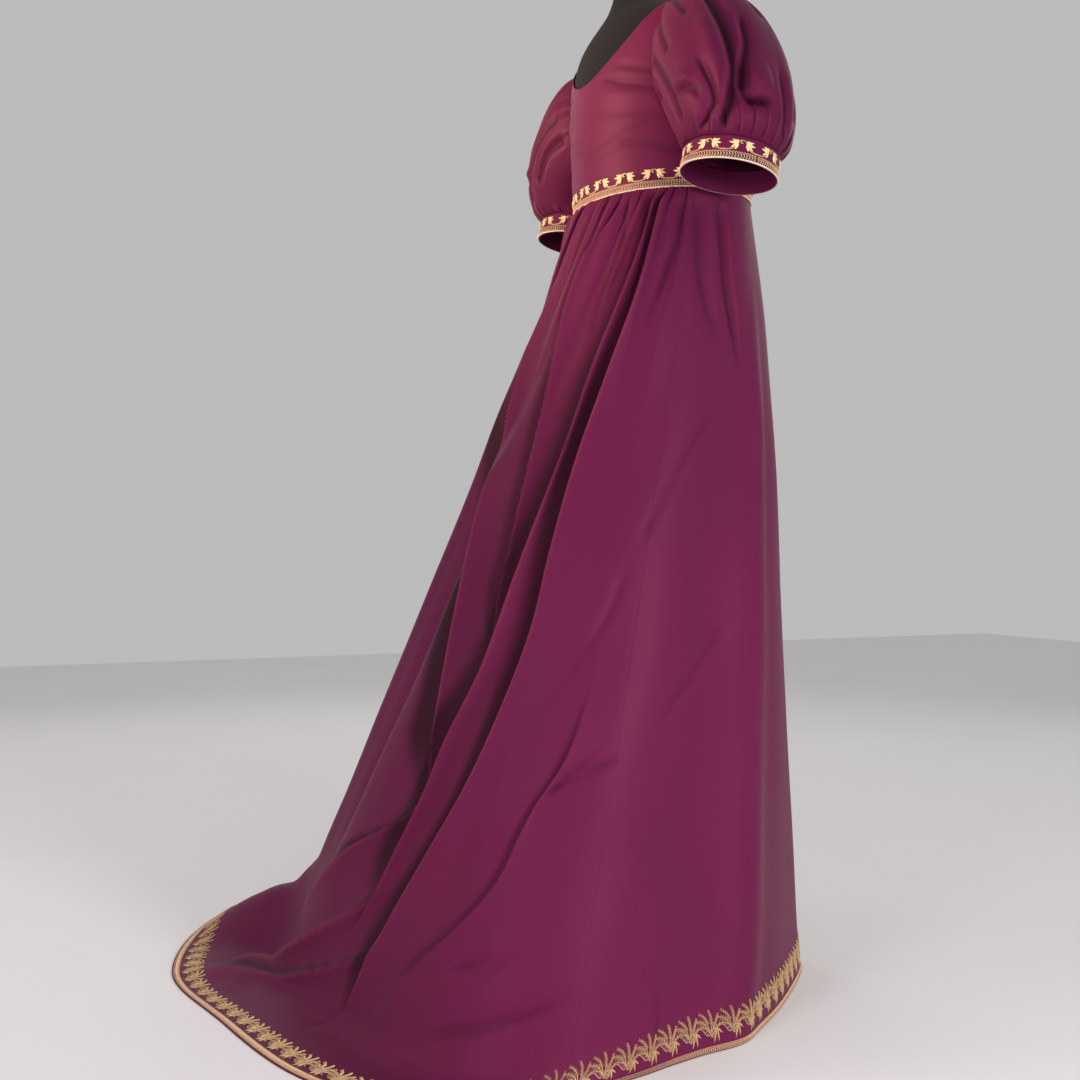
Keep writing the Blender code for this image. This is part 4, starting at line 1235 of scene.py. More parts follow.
# %% Sleeve sizes and tables
# In metres, or in degrees of the clock angle
CUFF_CENTRE = {
    "right": np.array((-0.2450, 0.0270, 1.1800)),
    "left": np.array((-0.2400, 0.0310, 1.1900)),
}
SIDES = (("right", 1), ("left", -1))
CUFF_RADIUS = 0.0655
CUFF_TILT = 10
PUFF_OUT = 0.106
PUFF_DOWN = 0.086
CUFF_SEEN = 0.032
SLEEVE_GATHERS = 11
SLEEVE_GATHER_RISE = 0.0034
SLEEVE_SCALE = 0.0013
# Painted shade over each whole sleeve, taken off its painted light and shade.
SLEEVE_SHADE = 0.22
# What sets the two apart: how far the cap lifts, the phase of the ridges, turn of the relief
SLEEVE_OWN = {"right": (0.60, 0, 0), "left": (0.34, 2, 14)}

# Rise, half width towards the lower and the higher clock angles, then the path: clock angle, share
# of the way down. On a level path that runs to lower angles the first width is the upper one.
SLEEVE_FOLDS = (
    (-0.0100, 0.0120, 0.0050, ((24, 0.03), (27, 0.18), (23, 0.36), (21, 0.52), (21, 0.61), (22, 0.70),
                               (26, 0.76), (34, 0.85), (45, 0.95))),
    (-0.0060, 0.0060, 0.0040, ((49, 0.62), (44, 0.77), (46, 0.83), (58, 0.90), (70, 0.95))),
    (-0.0070, 0.0050, 0.0050, ((2, 0.48), (6, 0.61), (14, 0.70), (18, 0.77), (15, 0.82))),
    (-0.0130, 0.0040, 0.0060, ((18, 0.81), (10, 0.825), (352, 0.81))),
    (0.0070, 0.0120, 0.0060, ((14, 0.75), (5, 0.755), (350, 0.74))),
    (-0.0045, 0.0060, 0.0035, ((80, 0.69), (70, 0.70), (62, 0.73), (57, 0.79))),
    (0.0035, 0.0060, 0.0060, ((84, 0.63), (70, 0.645), (58, 0.68))),
    (0.0050, 0.0080, 0.0080, ((35, 0.45), (34, 0.60), (35, 0.74), (44, 0.84))),
    (-0.0050, 0.0080, 0.0040, ((62, 0.03), (68, 0.15), (73, 0.34), (72, 0.46))),
    (-0.0055, 0.0080, 0.0040, ((42, 0.03), (46, 0.16), (47, 0.30), (44, 0.42))),
    (-0.0050, 0.0080, 0.0050, ((6, 0.03), (8, 0.16), (6, 0.32))),
    (-0.0045, 0.0070, 0.0050, ((346, 0.03), (343, 0.20), (338, 0.44))),
    (-0.0050, 0.0060, 0.0060, ((338, 0.66), (334, 0.78), (330, 0.94))),
    (-0.0060, 0.0070, 0.0050, ((322, 0.10), (314, 0.34), (310, 0.60), (316, 0.82))),
    (-0.0060, 0.0070, 0.0050, ((296, 0.20), (286, 0.45), (284, 0.74))),
    (-0.0055, 0.0080, 0.0050, ((97, 0.16), (92, 0.40), (88, 0.62), (92, 0.84))),
    (-0.0050, 0.0070, 0.0050, ((120, 0.15), (113, 0.38), (112, 0.66))),
    (-0.0050, 0.0080, 0.0050, ((255, 0.20), (250, 0.66))),
)
# Share of a pleat's pitch at which it is cut off. Then degrees to a pleat, height, where the pleats
# fade and over what share of the way, from which end.
PLEAT_CUT = 0.84
SLEEVE_PLEATS = (
    (15.0, 0.0030, 0.80, 0.12, 1),
    (12.0, 0.0022, 0.24, 0.20, 0),
)


print("sleeve folds:", len(SLEEVE_FOLDS))

# %% Rings at both ends of a sleeve, and its relief


def armhole_ring(clock, out, shrink):
    """Armhole off the body, drawn towards its middle."""
    behind, height = armhole(clock)
    ring = off_body(90 + behind, height, np.full(len(clock), out))
    return ring + unit(ring.mean(0) - ring) * shrink


def cuff_ring(clock, rise, radius, side):
    """Circle round the cuff's tilted axis, at a height above its lower edge."""
    angle, tilt = np.radians(clock), math.radians(CUFF_TILT)
    front_down = np.array((0.0, math.cos(tilt), math.sin(tilt)))
    up = np.array((0.0, -math.sin(tilt), math.cos(tilt)))
    return (CUFF_CENTRE[side] + up * rise + np.outer(-np.cos(angle), (1, 0, 0)) * radius
            + np.outer(np.sin(angle), front_down) * radius)


def away_from_middle(normals, points):
    """The normals, turned round where most of them point at the middle."""
    outwards = np.sum(normals * (points - points.mean(1, keepdims=True)))
    return normals if outwards > 0 else -normals


def path_distance(x, y, path):
    """Distance from each grid point to a path, which side it is on, and how far along in shares."""
    best, side, along, passed = np.full(x.shape, 9.0), np.zeros_like(x), np.zeros_like(x), 0.0
    for (ax, ay), (bx, by) in zip(path[:-1], path[1:]):
        way_x, way_y = bx - ax, by - ay
        length = math.hypot(way_x, way_y)
        s = np.clip(((x - ax) * way_x + (y - ay) * way_y) / length ** 2, 0, 1)
        off_x, off_y = x - ax - s * way_x, y - ay - s * way_y
        away = np.hypot(off_x, off_y)
        near = away < best
        best = np.where(near, away, best)
        side = np.where(near, way_x * off_y - way_y * off_x, side)
        along = np.where(near, passed + s * length, along)
        passed += length
    return best, side, np.minimum(along, passed - along)


def past_angle(angle, first):
    """Degrees past the first angle, between -180 and 180."""
    return (angle - first + 180) % 360 - 180


def sleeve_relief(clock, t, down, turned):
    """Rise and painted light and shade of a sleeve: painted highlights and shades at its pleats and
    folds, a painted highlight along the armhole seam and a painted shade over it all. A pleat's
    profile is its phase, cut off near its end; a fold's is rise x bell(distance / width), less its
    last centimetre."""
    clock, t = np.broadcast_arrays(clock[None, :] + turned, t)
    rise, press = np.zeros(t.shape), np.zeros(t.shape)
    for pitch, height, edge, over, end in SLEEVE_PLEATS:
        count = clock / pitch + 0.16 * np.sin(np.radians(3 * clock)) + 0.25 * np.sin(9 * t)
        number, phase = np.floor(count), count % 1
        fade = smooth_step((t - edge) / over if end else (edge - t) / over)
        fade = fade * np.clip((1 - t if end else t) / 0.035, 0, 1) * (0.75 + 0.25 * np.sin(2.3 * number))
        rise += height * fade * phase * (1 - smooth_step((phase - PLEAT_CUT) / (1 - PLEAT_CUT)))
        # Painted highlight on each small pleat's edge, and painted shade just past it.
        press += fade * (0.7 * bell((phase - 0.82) / 0.06) - bell((phase - 0.95) / 0.06))
    y = t * down
    for size, low, high, path in SLEEVE_FOLDS:
        x = past_angle(clock, path[0][0]) * SLEEVE_SCALE
        metres = [(past_angle(c, path[0][0]) * SLEEVE_SCALE, s * down) for c, s in path]
        away, side, to_end = path_distance(x, y, metres)
        width = np.where(side > 0, low, high)
        grown = smooth_step((to_end + 0.003) / 0.012) * np.clip(np.minimum(t, 1 - t) / 0.04, 0, 1)
        rise += size * grown * bell(away / width)
        steep = (side > 0) == (low < high)
        # Painted highlight along the steep bank of a trough, and painted shade in the trough.
        rim = steep * bell((away - 1.35 * width) / 0.0020)
        press += grown * min(1, abs(size) / 0.008) * (size < 0) * (0.6 * rim - bell(away / (0.6 * width)))
    # Painted highlight along the armhole seam.
    press += 0.8 * bell(t / 0.012)
    return rise, press - SLEEVE_SHADE


print("round a cuff:", round(2 * math.pi * CUFF_RADIUS, 3), "m")

# %% The puff


def sleeve_surface(columns, rows, side):
    """Strands (1-t)³ a + 3t(1-t)² (a + leave) + 3t²(1-t) (b + arrive) + t³ b, with ridges along
    them and the relief on top."""
    clock = np.arange(columns) * 360 / columns
    start = armhole_ring(clock, EASE, SEAM + 0.0006)
    second = armhole_ring(clock, EASE + 2 * CLOTH, SEAM + 0.0003)
    end = cuff_ring(clock, CUFF_SEEN + SEAM, CUFF_RADIUS, side)
    angle = np.radians(clock)
    top, back = np.cos(angle), np.sin(angle)
    lift, ridge_phase, turned = SLEEVE_OWN[side]
    spread = np.stack((np.full(columns, -0.84), 0.62 * back, lift * top + lift / 2 - 0.20), -1)
    leave = unit(spread) * (PUFF_OUT * (0.56 + 0.44 * top))[:, None]
    swell = np.stack((-0.50 * top - 0.45, 0.85 * back, 0.80 + 0.12 * top), -1)
    arrive = unit(swell) * (PUFF_DOWN * (0.58 + 0.42 * top))[:, None]
    t = np.linspace(0, 1, rows)[:, None, None]
    puff = (second * (1 - t) ** 3 + 3 * (second + leave) * t * (1 - t) ** 2
            + 3 * (end + arrive) * t * t * (1 - t) + end * t ** 3)
    normals = away_from_middle(grid_normals(puff, True), puff)
    t = t[..., 0]
    sway = 0.10 * np.sin(3 * angle + 5 * t + ridge_phase)
    count = SLEEVE_GATHERS * (angle / (2 * np.pi)) + sway * np.sin(np.pi * t)
    ridge = (0.5 + 0.5 * np.cos(2 * np.pi * count)) ** 0.85
    uneven = (0.8 + 0.2 * np.sin(2.1 * np.round(count))) * (0.55 + 0.45 * top)
    size = np.maximum(np.sin(np.pi * t) ** 0.5 * (0.35 + 0.65 * t), 0)
    rise = SLEEVE_GATHER_RISE * ridge * uneven * size
    down = np.linalg.norm(np.diff(puff, axis=0), axis=-1).sum(0).mean()
    relief, press = sleeve_relief(clock, t, down, turned)
    puff = puff + normals * (rise + relief)[..., None]
    return np.concatenate((start[None], puff)), np.concatenate((press[:1], press))


print("a puff leaves the armhole by", PUFF_OUT, "m and reaches the cuff from", PUFF_DOWN, "m above")

# %% Sew the sleeves and cuffs
SLEEVE_COLUMNS = 264
SLEEVE_ROWS = 86
CUFF_BULGE = 0.0006
cuff_clock = np.arange(180) * 2.0
cuff_rise = np.linspace(0, CUFF_SEEN, 12)
for side, mirror in SIDES:
    flip = np.array((mirror, 1, 1))
    surface, press = sleeve_surface(SLEEVE_COLUMNS, SLEEVE_ROWS, side)
    normals = away_from_middle(grid_normals(surface, True), surface)
    normals[-1] = unit(normals[-1] * (1, 1, 0))
    piece = grid_wall("sleeve_" + side + "_satin", surface * flip,
                      (surface - normals * CLOTH) * flip, True)
    mark_painted_shading(piece, press)
    cloth(piece, ["sleeve_" + side], cut_size(closed_grid(surface)), "gathered")
    bulge = CUFF_BULGE * np.sin(np.pi * cuff_rise / CUFF_SEEN) - CUFF_BULGE
    outer = np.array([cuff_ring(cuff_clock, r, CUFF_RADIUS + b, side) for r, b in zip(cuff_rise, bulge)])
    inner = np.array([cuff_ring(cuff_clock, r, CUFF_RADIUS - CLOTH, side) for r in cuff_rise])
    piece = grid_wall("cuff_" + side + "_satin", outer * flip, inner * flip, True)
    cloth(piece, ["cuff_" + side], cut_size(closed_grid(outer)))

# %% [markdown]
# ## Embroidery, thread by thread
#
# A trim is drawn flat, in metres along it, up it and out of it, and then laid on the garment. One
# stitch or leaf lobe is a `thread`: a path with a half ring at each point, closed at both ends. A
# motif joins a few threads, `repeat` copies it along the trim, and `lay` carries every point onto a
# `Strip`, a grid of points on the cloth, by its place between the grid's lines.

# %% Threads, lobes and stitches


def thread(path, half_width, rise, sides=4):
    """Ring at each path point: across = w cos a, up = h sin a, for a from 0 to 180 degrees; its
    flat side lies on the cloth, and a fan closes each end."""
    path = np.asarray(path, float)
    steps = np.gradient(path, axis=0)
    aside = unit(np.stack((-steps[:, 1], steps[:, 0]), -1))
    angle = np.linspace(0, np.pi, sides)
    width = np.broadcast_to(half_width, len(path))[:, None, None]
    height = np.broadcast_to(rise, len(path))[:, None]
    flat = path[:, None] + aside[:, None] * width * np.cos(angle)[None, :, None]
    points = np.concatenate((flat, (height * np.sin(angle))[..., None]), -1)
    faces = triangles(len(path), sides, True)[:, ::-1]
    fan = np.array([(0, k, k + 1) for k in range(1, sides - 1)])
    last = (len(path) - 1) * sides
    return points.reshape(-1, 3), np.concatenate((faces, fan, fan[:, ::-1] + last))


def join(parts):
    """Points of all parts in one array, and their faces counted on."""
    starts = np.cumsum([0] + [len(points) for points, _ in parts])
    return (np.concatenate([points for points, _ in parts]),
            np.concatenate([faces + start for (_, faces), start in zip(parts, starts)]))


def curve(knots, count):
    """Smooth path through a few (along, up) points."""
    knots = np.asarray(knots, float)
    t = np.concatenate(([0], np.cumsum(np.linalg.norm(np.diff(knots, axis=0), axis=1))))
    at = np.linspace(0, t[-1], count)
    return np.stack([through(t, knots[:, k], at) for k in (0, 1)], -1)


def lobe(root, angle, length, half_width, rise, bow):
    """Leaf lobe: a path bowed to one side, as wide as sin(pi s^0.9)^0.75 and pointed."""
    s = np.linspace(0, 1, 6)
    way = np.array((math.cos(math.radians(angle)), math.sin(math.radians(angle))))
    aside = np.array((-way[1], way[0]))
    path = np.asarray(root) + np.outer(s * length, way) + np.outer(bow * length * s * s, aside)
    swell = np.clip(np.sin(np.pi * s ** 0.9), 0.02, 1) ** 0.75
    return thread(path, half_width * swell, rise * swell)


def cord(first, last, up, radius, rise, count):
    """Piping or cord: one long thread at a height, between two places along the trim."""
    return thread(np.stack((np.linspace(first, last, count), np.full(count, up)), -1), radius, rise, 6)


def stitch(start, end, tip, half_width, rise):
    """One straight stitch, narrower at both ends."""
    return thread(curve((start, end), 4), (tip, half_width, half_width, tip), rise)


print("points of one thread:", len(stitch((0, 0), (0.002, 0.003), 0.0003, 0.0006, 0.001)[0]))

# %% Strips of cloth to stitch on


class Strip:
    """Grid of cloth points, rows going up the trim and columns along it, with its two rulers."""

    def __init__(self, points, closed=False):
        self.closed = closed
        self.points = closed_grid(points) if closed else points
        across = across_tangents(self.points)
        if closed:
            across[:, :1] = across[:, -1:] = unit(across[:, :1] + across[:, -1:])
        self.normals = unit(np.cross(across, tangents(self.points)))
        self.along, self.up = ruler(self.points, 1), ruler(self.points, 0)

    def facing(self, middle):
        """Turns the normals away from a point inside the garment."""
        if np.sum(self.normals * (self.points - middle)) < 0:
            self.normals = -self.normals
        return self

    def lay(self, flat):
        """Point between four grid points, shared out by its place in their cell, then out."""
        length = self.along[-1]
        along = flat[:, 0] % length if self.closed else flat[:, 0]
        x = np.interp(along, self.along, np.arange(len(self.along)))
        y = np.interp(flat[:, 1], self.up, np.arange(len(self.up)))
        j = np.minimum(x.astype(int), len(self.along) - 2)
        i = np.minimum(y.astype(int), len(self.up) - 2)
        x, y = (x - j)[:, None], (y - i)[:, None]
        blend = [g[i, j] * (1 - x) * (1 - y) + g[i, j + 1] * x * (1 - y) + g[i + 1, j] * (1 - x) * y
                 + g[i + 1, j + 1] * x * y for g in (self.points, self.normals)]
        return blend[0] + unit(blend[1]) * flat[:, 2:]


print("a strip carries a flat drawing onto the cloth")

# %% Repeats and stitched pieces


def repeat(motif, places):
    """The motif once at each place along the trim, as one array."""
    points, faces = motif
    shift = np.zeros((len(places), 1, 3))
    shift[:, 0, 0] = places
    numbers = faces[None] + (np.arange(len(places)) * len(points))[:, None, None]
    return (points[None] + shift).reshape(-1, 3), numbers.reshape(-1, 3)


def volume(points, faces):
    """Six times the enclosed volume, about the points' middle: the sum of a . (b x c)."""
    a, b, c = (points[faces[:, k]] - points.mean(0) for k in range(3))
    return np.einsum("ij,ij->", a, np.cross(b, c))


def stitched(name, strip, flat, look, lift=0.0003, nodes=()):
    """Lays flat points on a strip, a hair above the cloth, and makes the piece."""
    points, faces = flat
    placed = strip.lay(points + (0, 0, lift))
    if volume(placed, faces) < 0:
        faces = faces[:, ::-1]
    return dress(put_mesh(name, placed, faces, SHARP_THREAD), look, "gold_embroidery", nodes)


def even_places(length, pitch, margin=0.0):
    """Starts of whole repeats that fill a length, stretched to fit it."""
    count = max(1, round((length - 2 * margin) / pitch))
    return margin + np.arange(count) * (length - 2 * margin) / count


print("repeats on a metre of trim:", len(even_places(1.0, 0.05)))

# %% [markdown]
# ## Waist and cuff trim
#
# The trim has a cream piping on its lower edge, then two rows of slanted copper stitches that lean
# against each other, a row of small loops, and above them a vine: fans of five plump lobes on thin
# arched stems, one fan opening backwards and the next one forwards. The waist trim comes in two
# lengths, because the skirt opens at the side front.

# %% Vine and braid
MM = 0.001
VINE_PITCH = 0.046
STITCH_PITCH = 0.0038
# Heights above the trim's lower edge: the ground's edges, the stitches' ends, the loops' top
GROUND_BAND = (0.0020, 0.0096)
STITCH_HEIGHTS = (0.0026, 0.0059, 0.0092)
LOOP_TOP = 0.0110
# Half width at the ends and in the middle of a stitch, and its rise
BRAID_STITCH = (0.0003, 0.00062, 0.0012)
# Height above the lower edge, half width and rise of the piping
PIPING = (0.0012, 0.0011, 0.00198)
# Directions of a leaf's lobes in degrees, and their lengths in millimetres
LEAF_ANGLES = np.array((122, 152, 180, 208, 240))
LEAF_LENGTHS = (8.0, 11.5, 13.2, 12.4, 9.6)


def cluster(root, angles, lengths, half_width):
    """Lobes fanned from one root; the lower ones of a leaf that points back bow the other way."""
    return [lobe(root, a, n * MM, half_width, 0.0013, 0.10 if a > 180 else -0.10)
            for a, n in zip(angles, lengths)]


def vine_motif():
    """Two leaves, the arch that joins them, its curl and the link to the next pair."""
    leaves = []
    for root, angles in (((0.0180, 0.0222), LEAF_ANGLES), ((0.0280, 0.0222), 180 - LEAF_ANGLES)):
        leaves += cluster(root, angles, LEAF_LENGTHS, 0.0017)
    arches, links = [], []
    for knots in (((17, 21.6), (19, 25.6), (23, 27.4), (27, 25.6), (29, 21.6)),
                  ((29, 21.4), (33, 16.0), (39, 13.4), (46, 13.0), (53, 13.4), (59, 16.0), (63, 21.4)),
                  ((23, 27.0), (20.8, 25.0), (21.4, 22.6), (23.4, 23.2))):
        path = curve(np.array(knots) * MM, 14)
        (links if knots[-1][0] > 60 else arches).append(thread(path, 0.00065, 0.0010))
    return join(leaves), join(arches), join(links)


def braid_motif():
    """One leaning stitch in each of two rows and one loop above them."""
    low, middle, high = STITCH_HEIGHTS
    lean = 0.55 * STITCH_PITCH
    loop = ((0, high + 0.0002), (0.4 * STITCH_PITCH, LOOP_TOP), (0.8 * STITCH_PITCH, high + 0.0002))
    return join([stitch((0, low), (lean, middle), *BRAID_STITCH),
                 stitch((lean, middle), (0, high), *BRAID_STITCH),
                 thread(curve(loop, 5), 0.0004, 0.0008)])


print("points of one vine:", sum(len(points) for points, _ in vine_motif()))

# %% Waist and cuffs


def ribbon_wall(name, strip, low, high, look):
    """Thin backing of the braid: a band of the strip between two heights."""
    count = int(strip.along[-1] / 0.004)
    along = np.linspace(0, strip.along[-1], count + 1)[:count + (not strip.closed)]
    sheets = []
    for out in (0.0006, 0.0002):
        flat = np.array([(a, up, out) for up in np.linspace(low, high, 4) for a in along])
        sheets.append(strip.lay(flat).reshape(4, len(along), 3))
    return dress(grid_wall(name, sheets[0], sheets[1], strip.closed), look, "gold_embroidery")


def narrow_trim(name, strip, nodes):
    """Piping, braid, loops and vine of one length of waist or cuff trim."""
    length, closed = strip.along[-1], strip.closed
    ends = (0, length) if closed else (0.001, length - 0.001)
    piping = cord(*ends, *PIPING, max(8, int(length / 0.003)))
    stitches = repeat(braid_motif(), even_places(length, STITCH_PITCH, 0.001))
    leaves, arches, links = vine_motif()
    places = even_places(length, VINE_PITCH)
    if not closed:
        count = int((length + 0.004) / VINE_PITCH)
        places = (np.arange(count) - count / 2) * VINE_PITCH + length / 2
    stems = join([repeat(arches, places), repeat(links, places if closed else places[:-1])])
    return [ribbon_wall(name + "_ground", strip, *GROUND_BAND, BRAID_DARK),
            stitched(name + "_piping", strip, piping, PIPING_THREAD),
            stitched(name + "_braid", strip, stitches, BRAID_THREAD, 0.0005),
            stitched(name + "_leaves", strip, repeat(leaves, places), LEAF_THREAD, nodes=nodes),
            stitched(name + "_stems", strip, stems, STEM_THREAD)]


trims = {}
trim_rise = np.linspace(0, TRIM_HEIGHT, 15)
slit = math.degrees(PLACKET_GAP / 2 / SKIRT_WAIST[0])
for name, first, last, columns in (("back", PLACKET_TURN + slit, 360 - PLACKET_TURN - slit, 320),
                                   ("front", -PLACKET_TURN + slit, PLACKET_TURN - slit, 80)):
    around = np.linspace(last, first, columns + 1)[None, :]
    level = WAIST_Z + trim_rise[:, None]
    strip = Strip(off_body(around, level, np.full((len(trim_rise), columns + 1), EASE + CLOTH)))
    strip.facing(np.array((0, 0, WAIST_Z)))
    trims["bodice_" + name + "_satin"] = narrow_trim("waist_" + name, strip, ["waist_trim_" + name])
for side, mirror in SIDES:
    clock = cuff_clock[::-1] if mirror > 0 else cuff_clock
    rings = np.array([cuff_ring(clock, r, CUFF_RADIUS + 0.0002, side) for r in trim_rise])
    strip = Strip(rings * (mirror, 1, 1), True).facing(CUFF_CENTRE[side] * (mirror, 1, 1))
    trims["cuff_" + side + "_satin"] = narrow_trim("cuff_" + side, strip, ["cuff_trim_" + side])

# %% [markdown]
# ## Hem trim
#
# The hem carries the richest trim. Its repeat is a plume of five feathered fronds that fan from one
# node, a stem that curls down and forward, a spiky leaf hanging below it, and small mauve curls
# between. Below runs a braid of two rows of dashes between two fine cords, and the satin shows as a
# narrow edge under it. The plume is drawn once and repeated all round the hem.

# %% Plume and curls
HEM_PITCH = 0.037
HEM_STITCH = 0.0034
FROND_BARBS = 6
BARB_LENGTH = 5.4 * MM
# Half widths and rise of the braid's dashes, then height, half width and rise of the two cords
HEM_DASH = (0.0004, 0.0008, 0.0011)
HEM_CORDS = ((0.0032, 0.0009, 0.00153), (0.0122, 0.0006, 0.00102))


def frond(knots):
    """A spine with pairs of rounded barbs, the longest near its foot. A barb leaves the spine at 46
    degrees, and its tip lies 36 degrees off the spine."""
    spine = curve(np.array(knots, float) * MM, 9)
    marks = np.linspace(0, 1, len(spine))
    parts = [thread(spine, np.linspace(0.0007, 0.0004, len(spine)), 0.0012)]
    for s in np.linspace(0.34, 0.98, FROND_BARBS):
        root, way = read_points(s, marks, spine), read_points(s, marks, tangents(spine))
        heading = math.degrees(math.atan2(way[1], way[0]))
        length = BARB_LENGTH * (1.0 - 0.45 * s)
        for side in (1, -1):
            angles = np.radians((heading + side * 46, heading + side * 36))
            tips = np.stack((np.cos(angles), np.sin(angles)), -1) * ((0.5 * length,), (length,))
            path = root + np.concatenate(([(0, 0)], tips))
            parts.append(thread(path, (0.00035, 0.00066, 0.00030), (0.0008, 0.0013, 0.0006), 3))
    return parts


def plume_motif():
    """Five fronds, a spiky leaf hanging under them and the stems; the mauve curls are kept apart.
    The plumes lean against the way in which the trim is counted."""
    flip = (-MM, MM)
    gold = []
    for knots in (((0, 26), (-6, 32.5), (-14, 37), (-23, 37.5), (-30, 33)),
                  ((-4, 31), (-11, 40), (-20, 45.5), (-28, 46.5)),
                  ((-2, 29), (-7, 41), (-13, 49.5), (-21, 55)),
                  ((0, 28), (0, 41), (-2, 50), (-5.5, 57)),
                  ((1, 27), (5, 36), (8.5, 43.5), (10, 50))):
        gold += frond(np.multiply(knots, (-1, 1)))
    gold += cluster((-0.0110, 0.0320), (-2, -36, -68, -100, -136), (10, 14.5, 17, 16, 11.5), 0.0011)
    for knots in (((0, 26), (3, 22.5), (8, 26), (11, 33)),
                  ((11, 33), (16, 36), (22, 33.5), (27, 28.5), (32, 25), (37, 26))):
        gold.append(thread(curve(np.multiply(knots, flip), 12), 0.00055, 0.0011))
    curls = [thread(curve(np.multiply(knots, flip), 8), 0.0008, 0.0009)
             for knots in (((0.5, 31), (3.2, 34), (2.4, 38), (5, 41)),
                           ((14, 41), (17.5, 43.5), (20, 41), (18.4, 38.4)),
                           ((27, 28), (29.5, 31), (32.4, 29.4), (31.2, 26.6)))]
    return join(gold), join(curls)


hem_plumes, hem_curls = plume_motif()
print("points of one plume:", len(hem_plumes[0]), " of its curls:", len(hem_curls[0]))

# %% Hem
hem_strip = Strip(skirt_points[-BAND_ROWS:][::-1], True)
hem_strip.normals = closed_grid(skirt_normals[-BAND_ROWS:][::-1])
hem_length = hem_strip.along[-1]
hem_braid = join([stitch((0, 0.0046), (0.0017, 0.0076), *HEM_DASH),
                  stitch((0.0017, 0.0081), (0, 0.0111), *HEM_DASH)])
panel_ends = np.cumsum([len(t) - 1 for t in turn_sets])
panel_bounds = np.concatenate(([0], hem_strip.along[panel_ends]))
plume_places = even_places(hem_length, HEM_PITCH)
braid_places = even_places(hem_length, HEM_STITCH)
print(f"hem {hem_length:.2f} m: {len(plume_places)} plumes, {len(braid_places)} pairs of stitches")


def hem_cords(first, last):
    """The two fine cords along one stretch of the hem, a hair short of its seams."""
    count = int((last - first) / 0.004) + 2
    ends = (first + 0.0003, last - 0.0003)
    return join([cord(*ends, *size, count) for size in HEM_CORDS])


for (name, _), first, last in zip(PANELS, panel_bounds[:-1], panel_bounds[1:]):
    inside = plume_places[(plume_places >= first) & (plume_places < last)]
    dashes = braid_places[(braid_places >= first) & (braid_places < last)]
    trims["skirt_" + name + "_satin"] = [
        stitched("hem_plumes_" + name, hem_strip, repeat(hem_plumes, inside), PLUME_THREAD,
                 nodes=["hem_trim_" + name]),
        stitched("hem_curls_" + name, hem_strip, repeat(hem_curls, inside), CURL_THREAD),
        stitched("hem_braid_" + name, hem_strip, repeat(hem_braid, dashes), BRAID_THREAD),
        stitched("hem_cords_" + name, hem_strip, hem_cords(first, last), PLUME_THREAD)]

# %% [markdown]
# ## What was cut
#
# Every piece of satin is declared with the size of the cloth it was cut from, so that the frame can
# check that no wall was stretched.

for name, ((width, length, area), held) in cuts.items():
    on = ["form_torso"] if name.startswith("bodice") else ["bodice_back_satin"]
    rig.sheet(bpy.data.objects[name], flat=(width, length), held=held, rests_on=on,
             area=min(area, width * length), with_pieces=trims.get(name, ()))
    print(f"{name}: {width:.3f} x {length:.3f} m, {area:.3f} m2")

# %% [markdown]
# ## Room, light and camera
#
# The camera stands behind the gown and to the wearer's right, at hip height, level, as in the
# photograph. Six soft lamps light it: a low key beside the camera, a second one on the train, a
# rosy window behind the train, a small warm patch on the upper back, and fills for the front and
# for the side that the photograph doesn't show. The surround and the floor are plain and pale. The
# plain transform, not the filmic one, keeps the satin's depth of colour.

# %% Floor and surround
floor_mesh = bpy.data.meshes.new("floor")
floor_mesh.from_pydata([(-6, -6, -0.0005), (6, -6, -0.0005), (6, 6, -0.0005), (-6, 6, -0.0005)], [],
                       [(0, 1, 2, 3)])
floor = add_object("floor", floor_mesh)
floor_paint = Paint("pale_floor", Roughness=0.75)
floor_spot = noise(floor_paint, floor_paint.place(), 2.0)
floor_paint.put("Base Color", floor_paint.mix(floor_spot, (0.80, 0.79, 0.78), (0.84, 0.83, 0.82)))
floor.data.materials.append(floor_paint.material)
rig.stage(floor)


world = bpy.data.worlds.new("studio")
bpy.context.scene.world = world
world.use_nodes = True
surround = world.node_tree.nodes["Background"].inputs
surround["Color"].default_value = (1.0, 1.0, 1.0, 1.0)
surround["Strength"].default_value = 0.50
bpy.context.scene.view_settings.view_transform = "Standard"
print("floor and surround ready")

# %% Lights


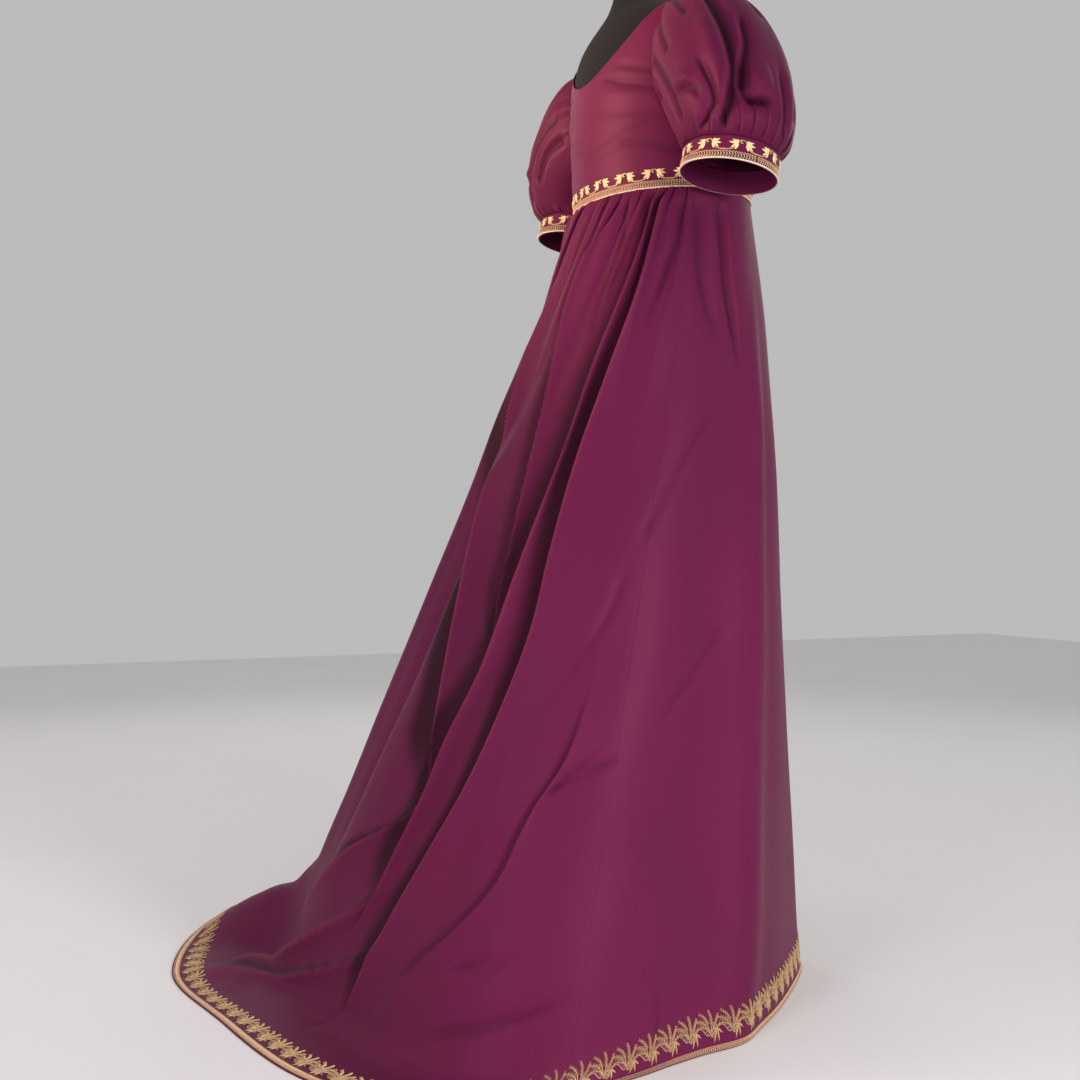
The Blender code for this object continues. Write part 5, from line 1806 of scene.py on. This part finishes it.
def area_light(name, place, target, size, power, colour, spread=180):
    """Square soft light at a place, aimed at a target: size in metres, power in watts."""
    light = bpy.data.lights.new(name, "AREA")
    light.size, light.energy, light.color = size, power, colour
    light.spread = math.radians(spread)
    lamp = add_object(name, light)
    lamp.location = place
    aim = np.subtract(target, place)
    flat = math.hypot(aim[0], aim[1])
    lamp.rotation_euler = (math.atan2(flat, -aim[2]), 0, math.atan2(aim[1], aim[0]) - math.pi / 2)


area_light("sun_patch", (0.9, 3.4, 1.9), (0.0, 0.0, 1.47), 0.6, 4.5, (1.0, 0.66, 0.42), 22)
area_light("window", (0.9, 3.5, 1.6), (-0.1, 0.2, 0.4), 1.0, 22, (1.0, 0.74, 0.80))
area_light("key", (-3.0, -0.5, 0.9), (0.05, 0.35, 0.25), 0.7, 25, (1.0, 0.95, 0.97), 100)
area_light("left", (-1.9, 2.9, 1.0), (0.0, 0.3, 0.30), 0.8, 26, (1.0, 0.93, 0.96), 150)
area_light("front", (1.6, -2.6, 2.4), (0.0, 0.0, 0.9), 2.0, 12, (1.0, 0.98, 0.96))
area_light("far_side", (3.4, 0.4, 2.0), (0.1, 0.2, 0.6), 2.0, 8, (1.0, 0.96, 0.97))

print("lamps:", len(bpy.data.lights))

# %% Camera
# Place in metres and direction over the floor; focal length and shift in the photograph's pixels
CAMERA_PLACE = (-1.768, 0.950, 0.684)
CAMERA_AIM = (0.92, -0.39)
FOCAL_PIXELS = 1300
FRAME_PIXELS = 1080
SHIFT_PIXELS = 3

lens = bpy.data.cameras.new("camera")
lens.sensor_width = 36.0
lens.lens = FOCAL_PIXELS / FRAME_PIXELS * lens.sensor_width
lens.shift_y = SHIFT_PIXELS / FRAME_PIXELS
camera = add_object("camera", lens)
camera.location = CAMERA_PLACE
camera.rotation_euler = (math.pi / 2, 0, math.atan2(CAMERA_AIM[1], CAMERA_AIM[0]) - math.pi / 2)
bpy.context.scene.camera = camera
print("lens:", round(lens.lens, 1), "mm")

# %% Measure and finish
seen_box = [list(corner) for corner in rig.bounds()]
with open("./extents.json", "w") as sizes:
    json.dump({"cad": cad_box, "visual": seen_box}, sizes)
print("triangles:", sum(counts.values()), "in", len(counts), "pieces")
print("grows by", np.round(np.subtract(seen_box, cad_box) * 1000, 2).tolist(), "mm")
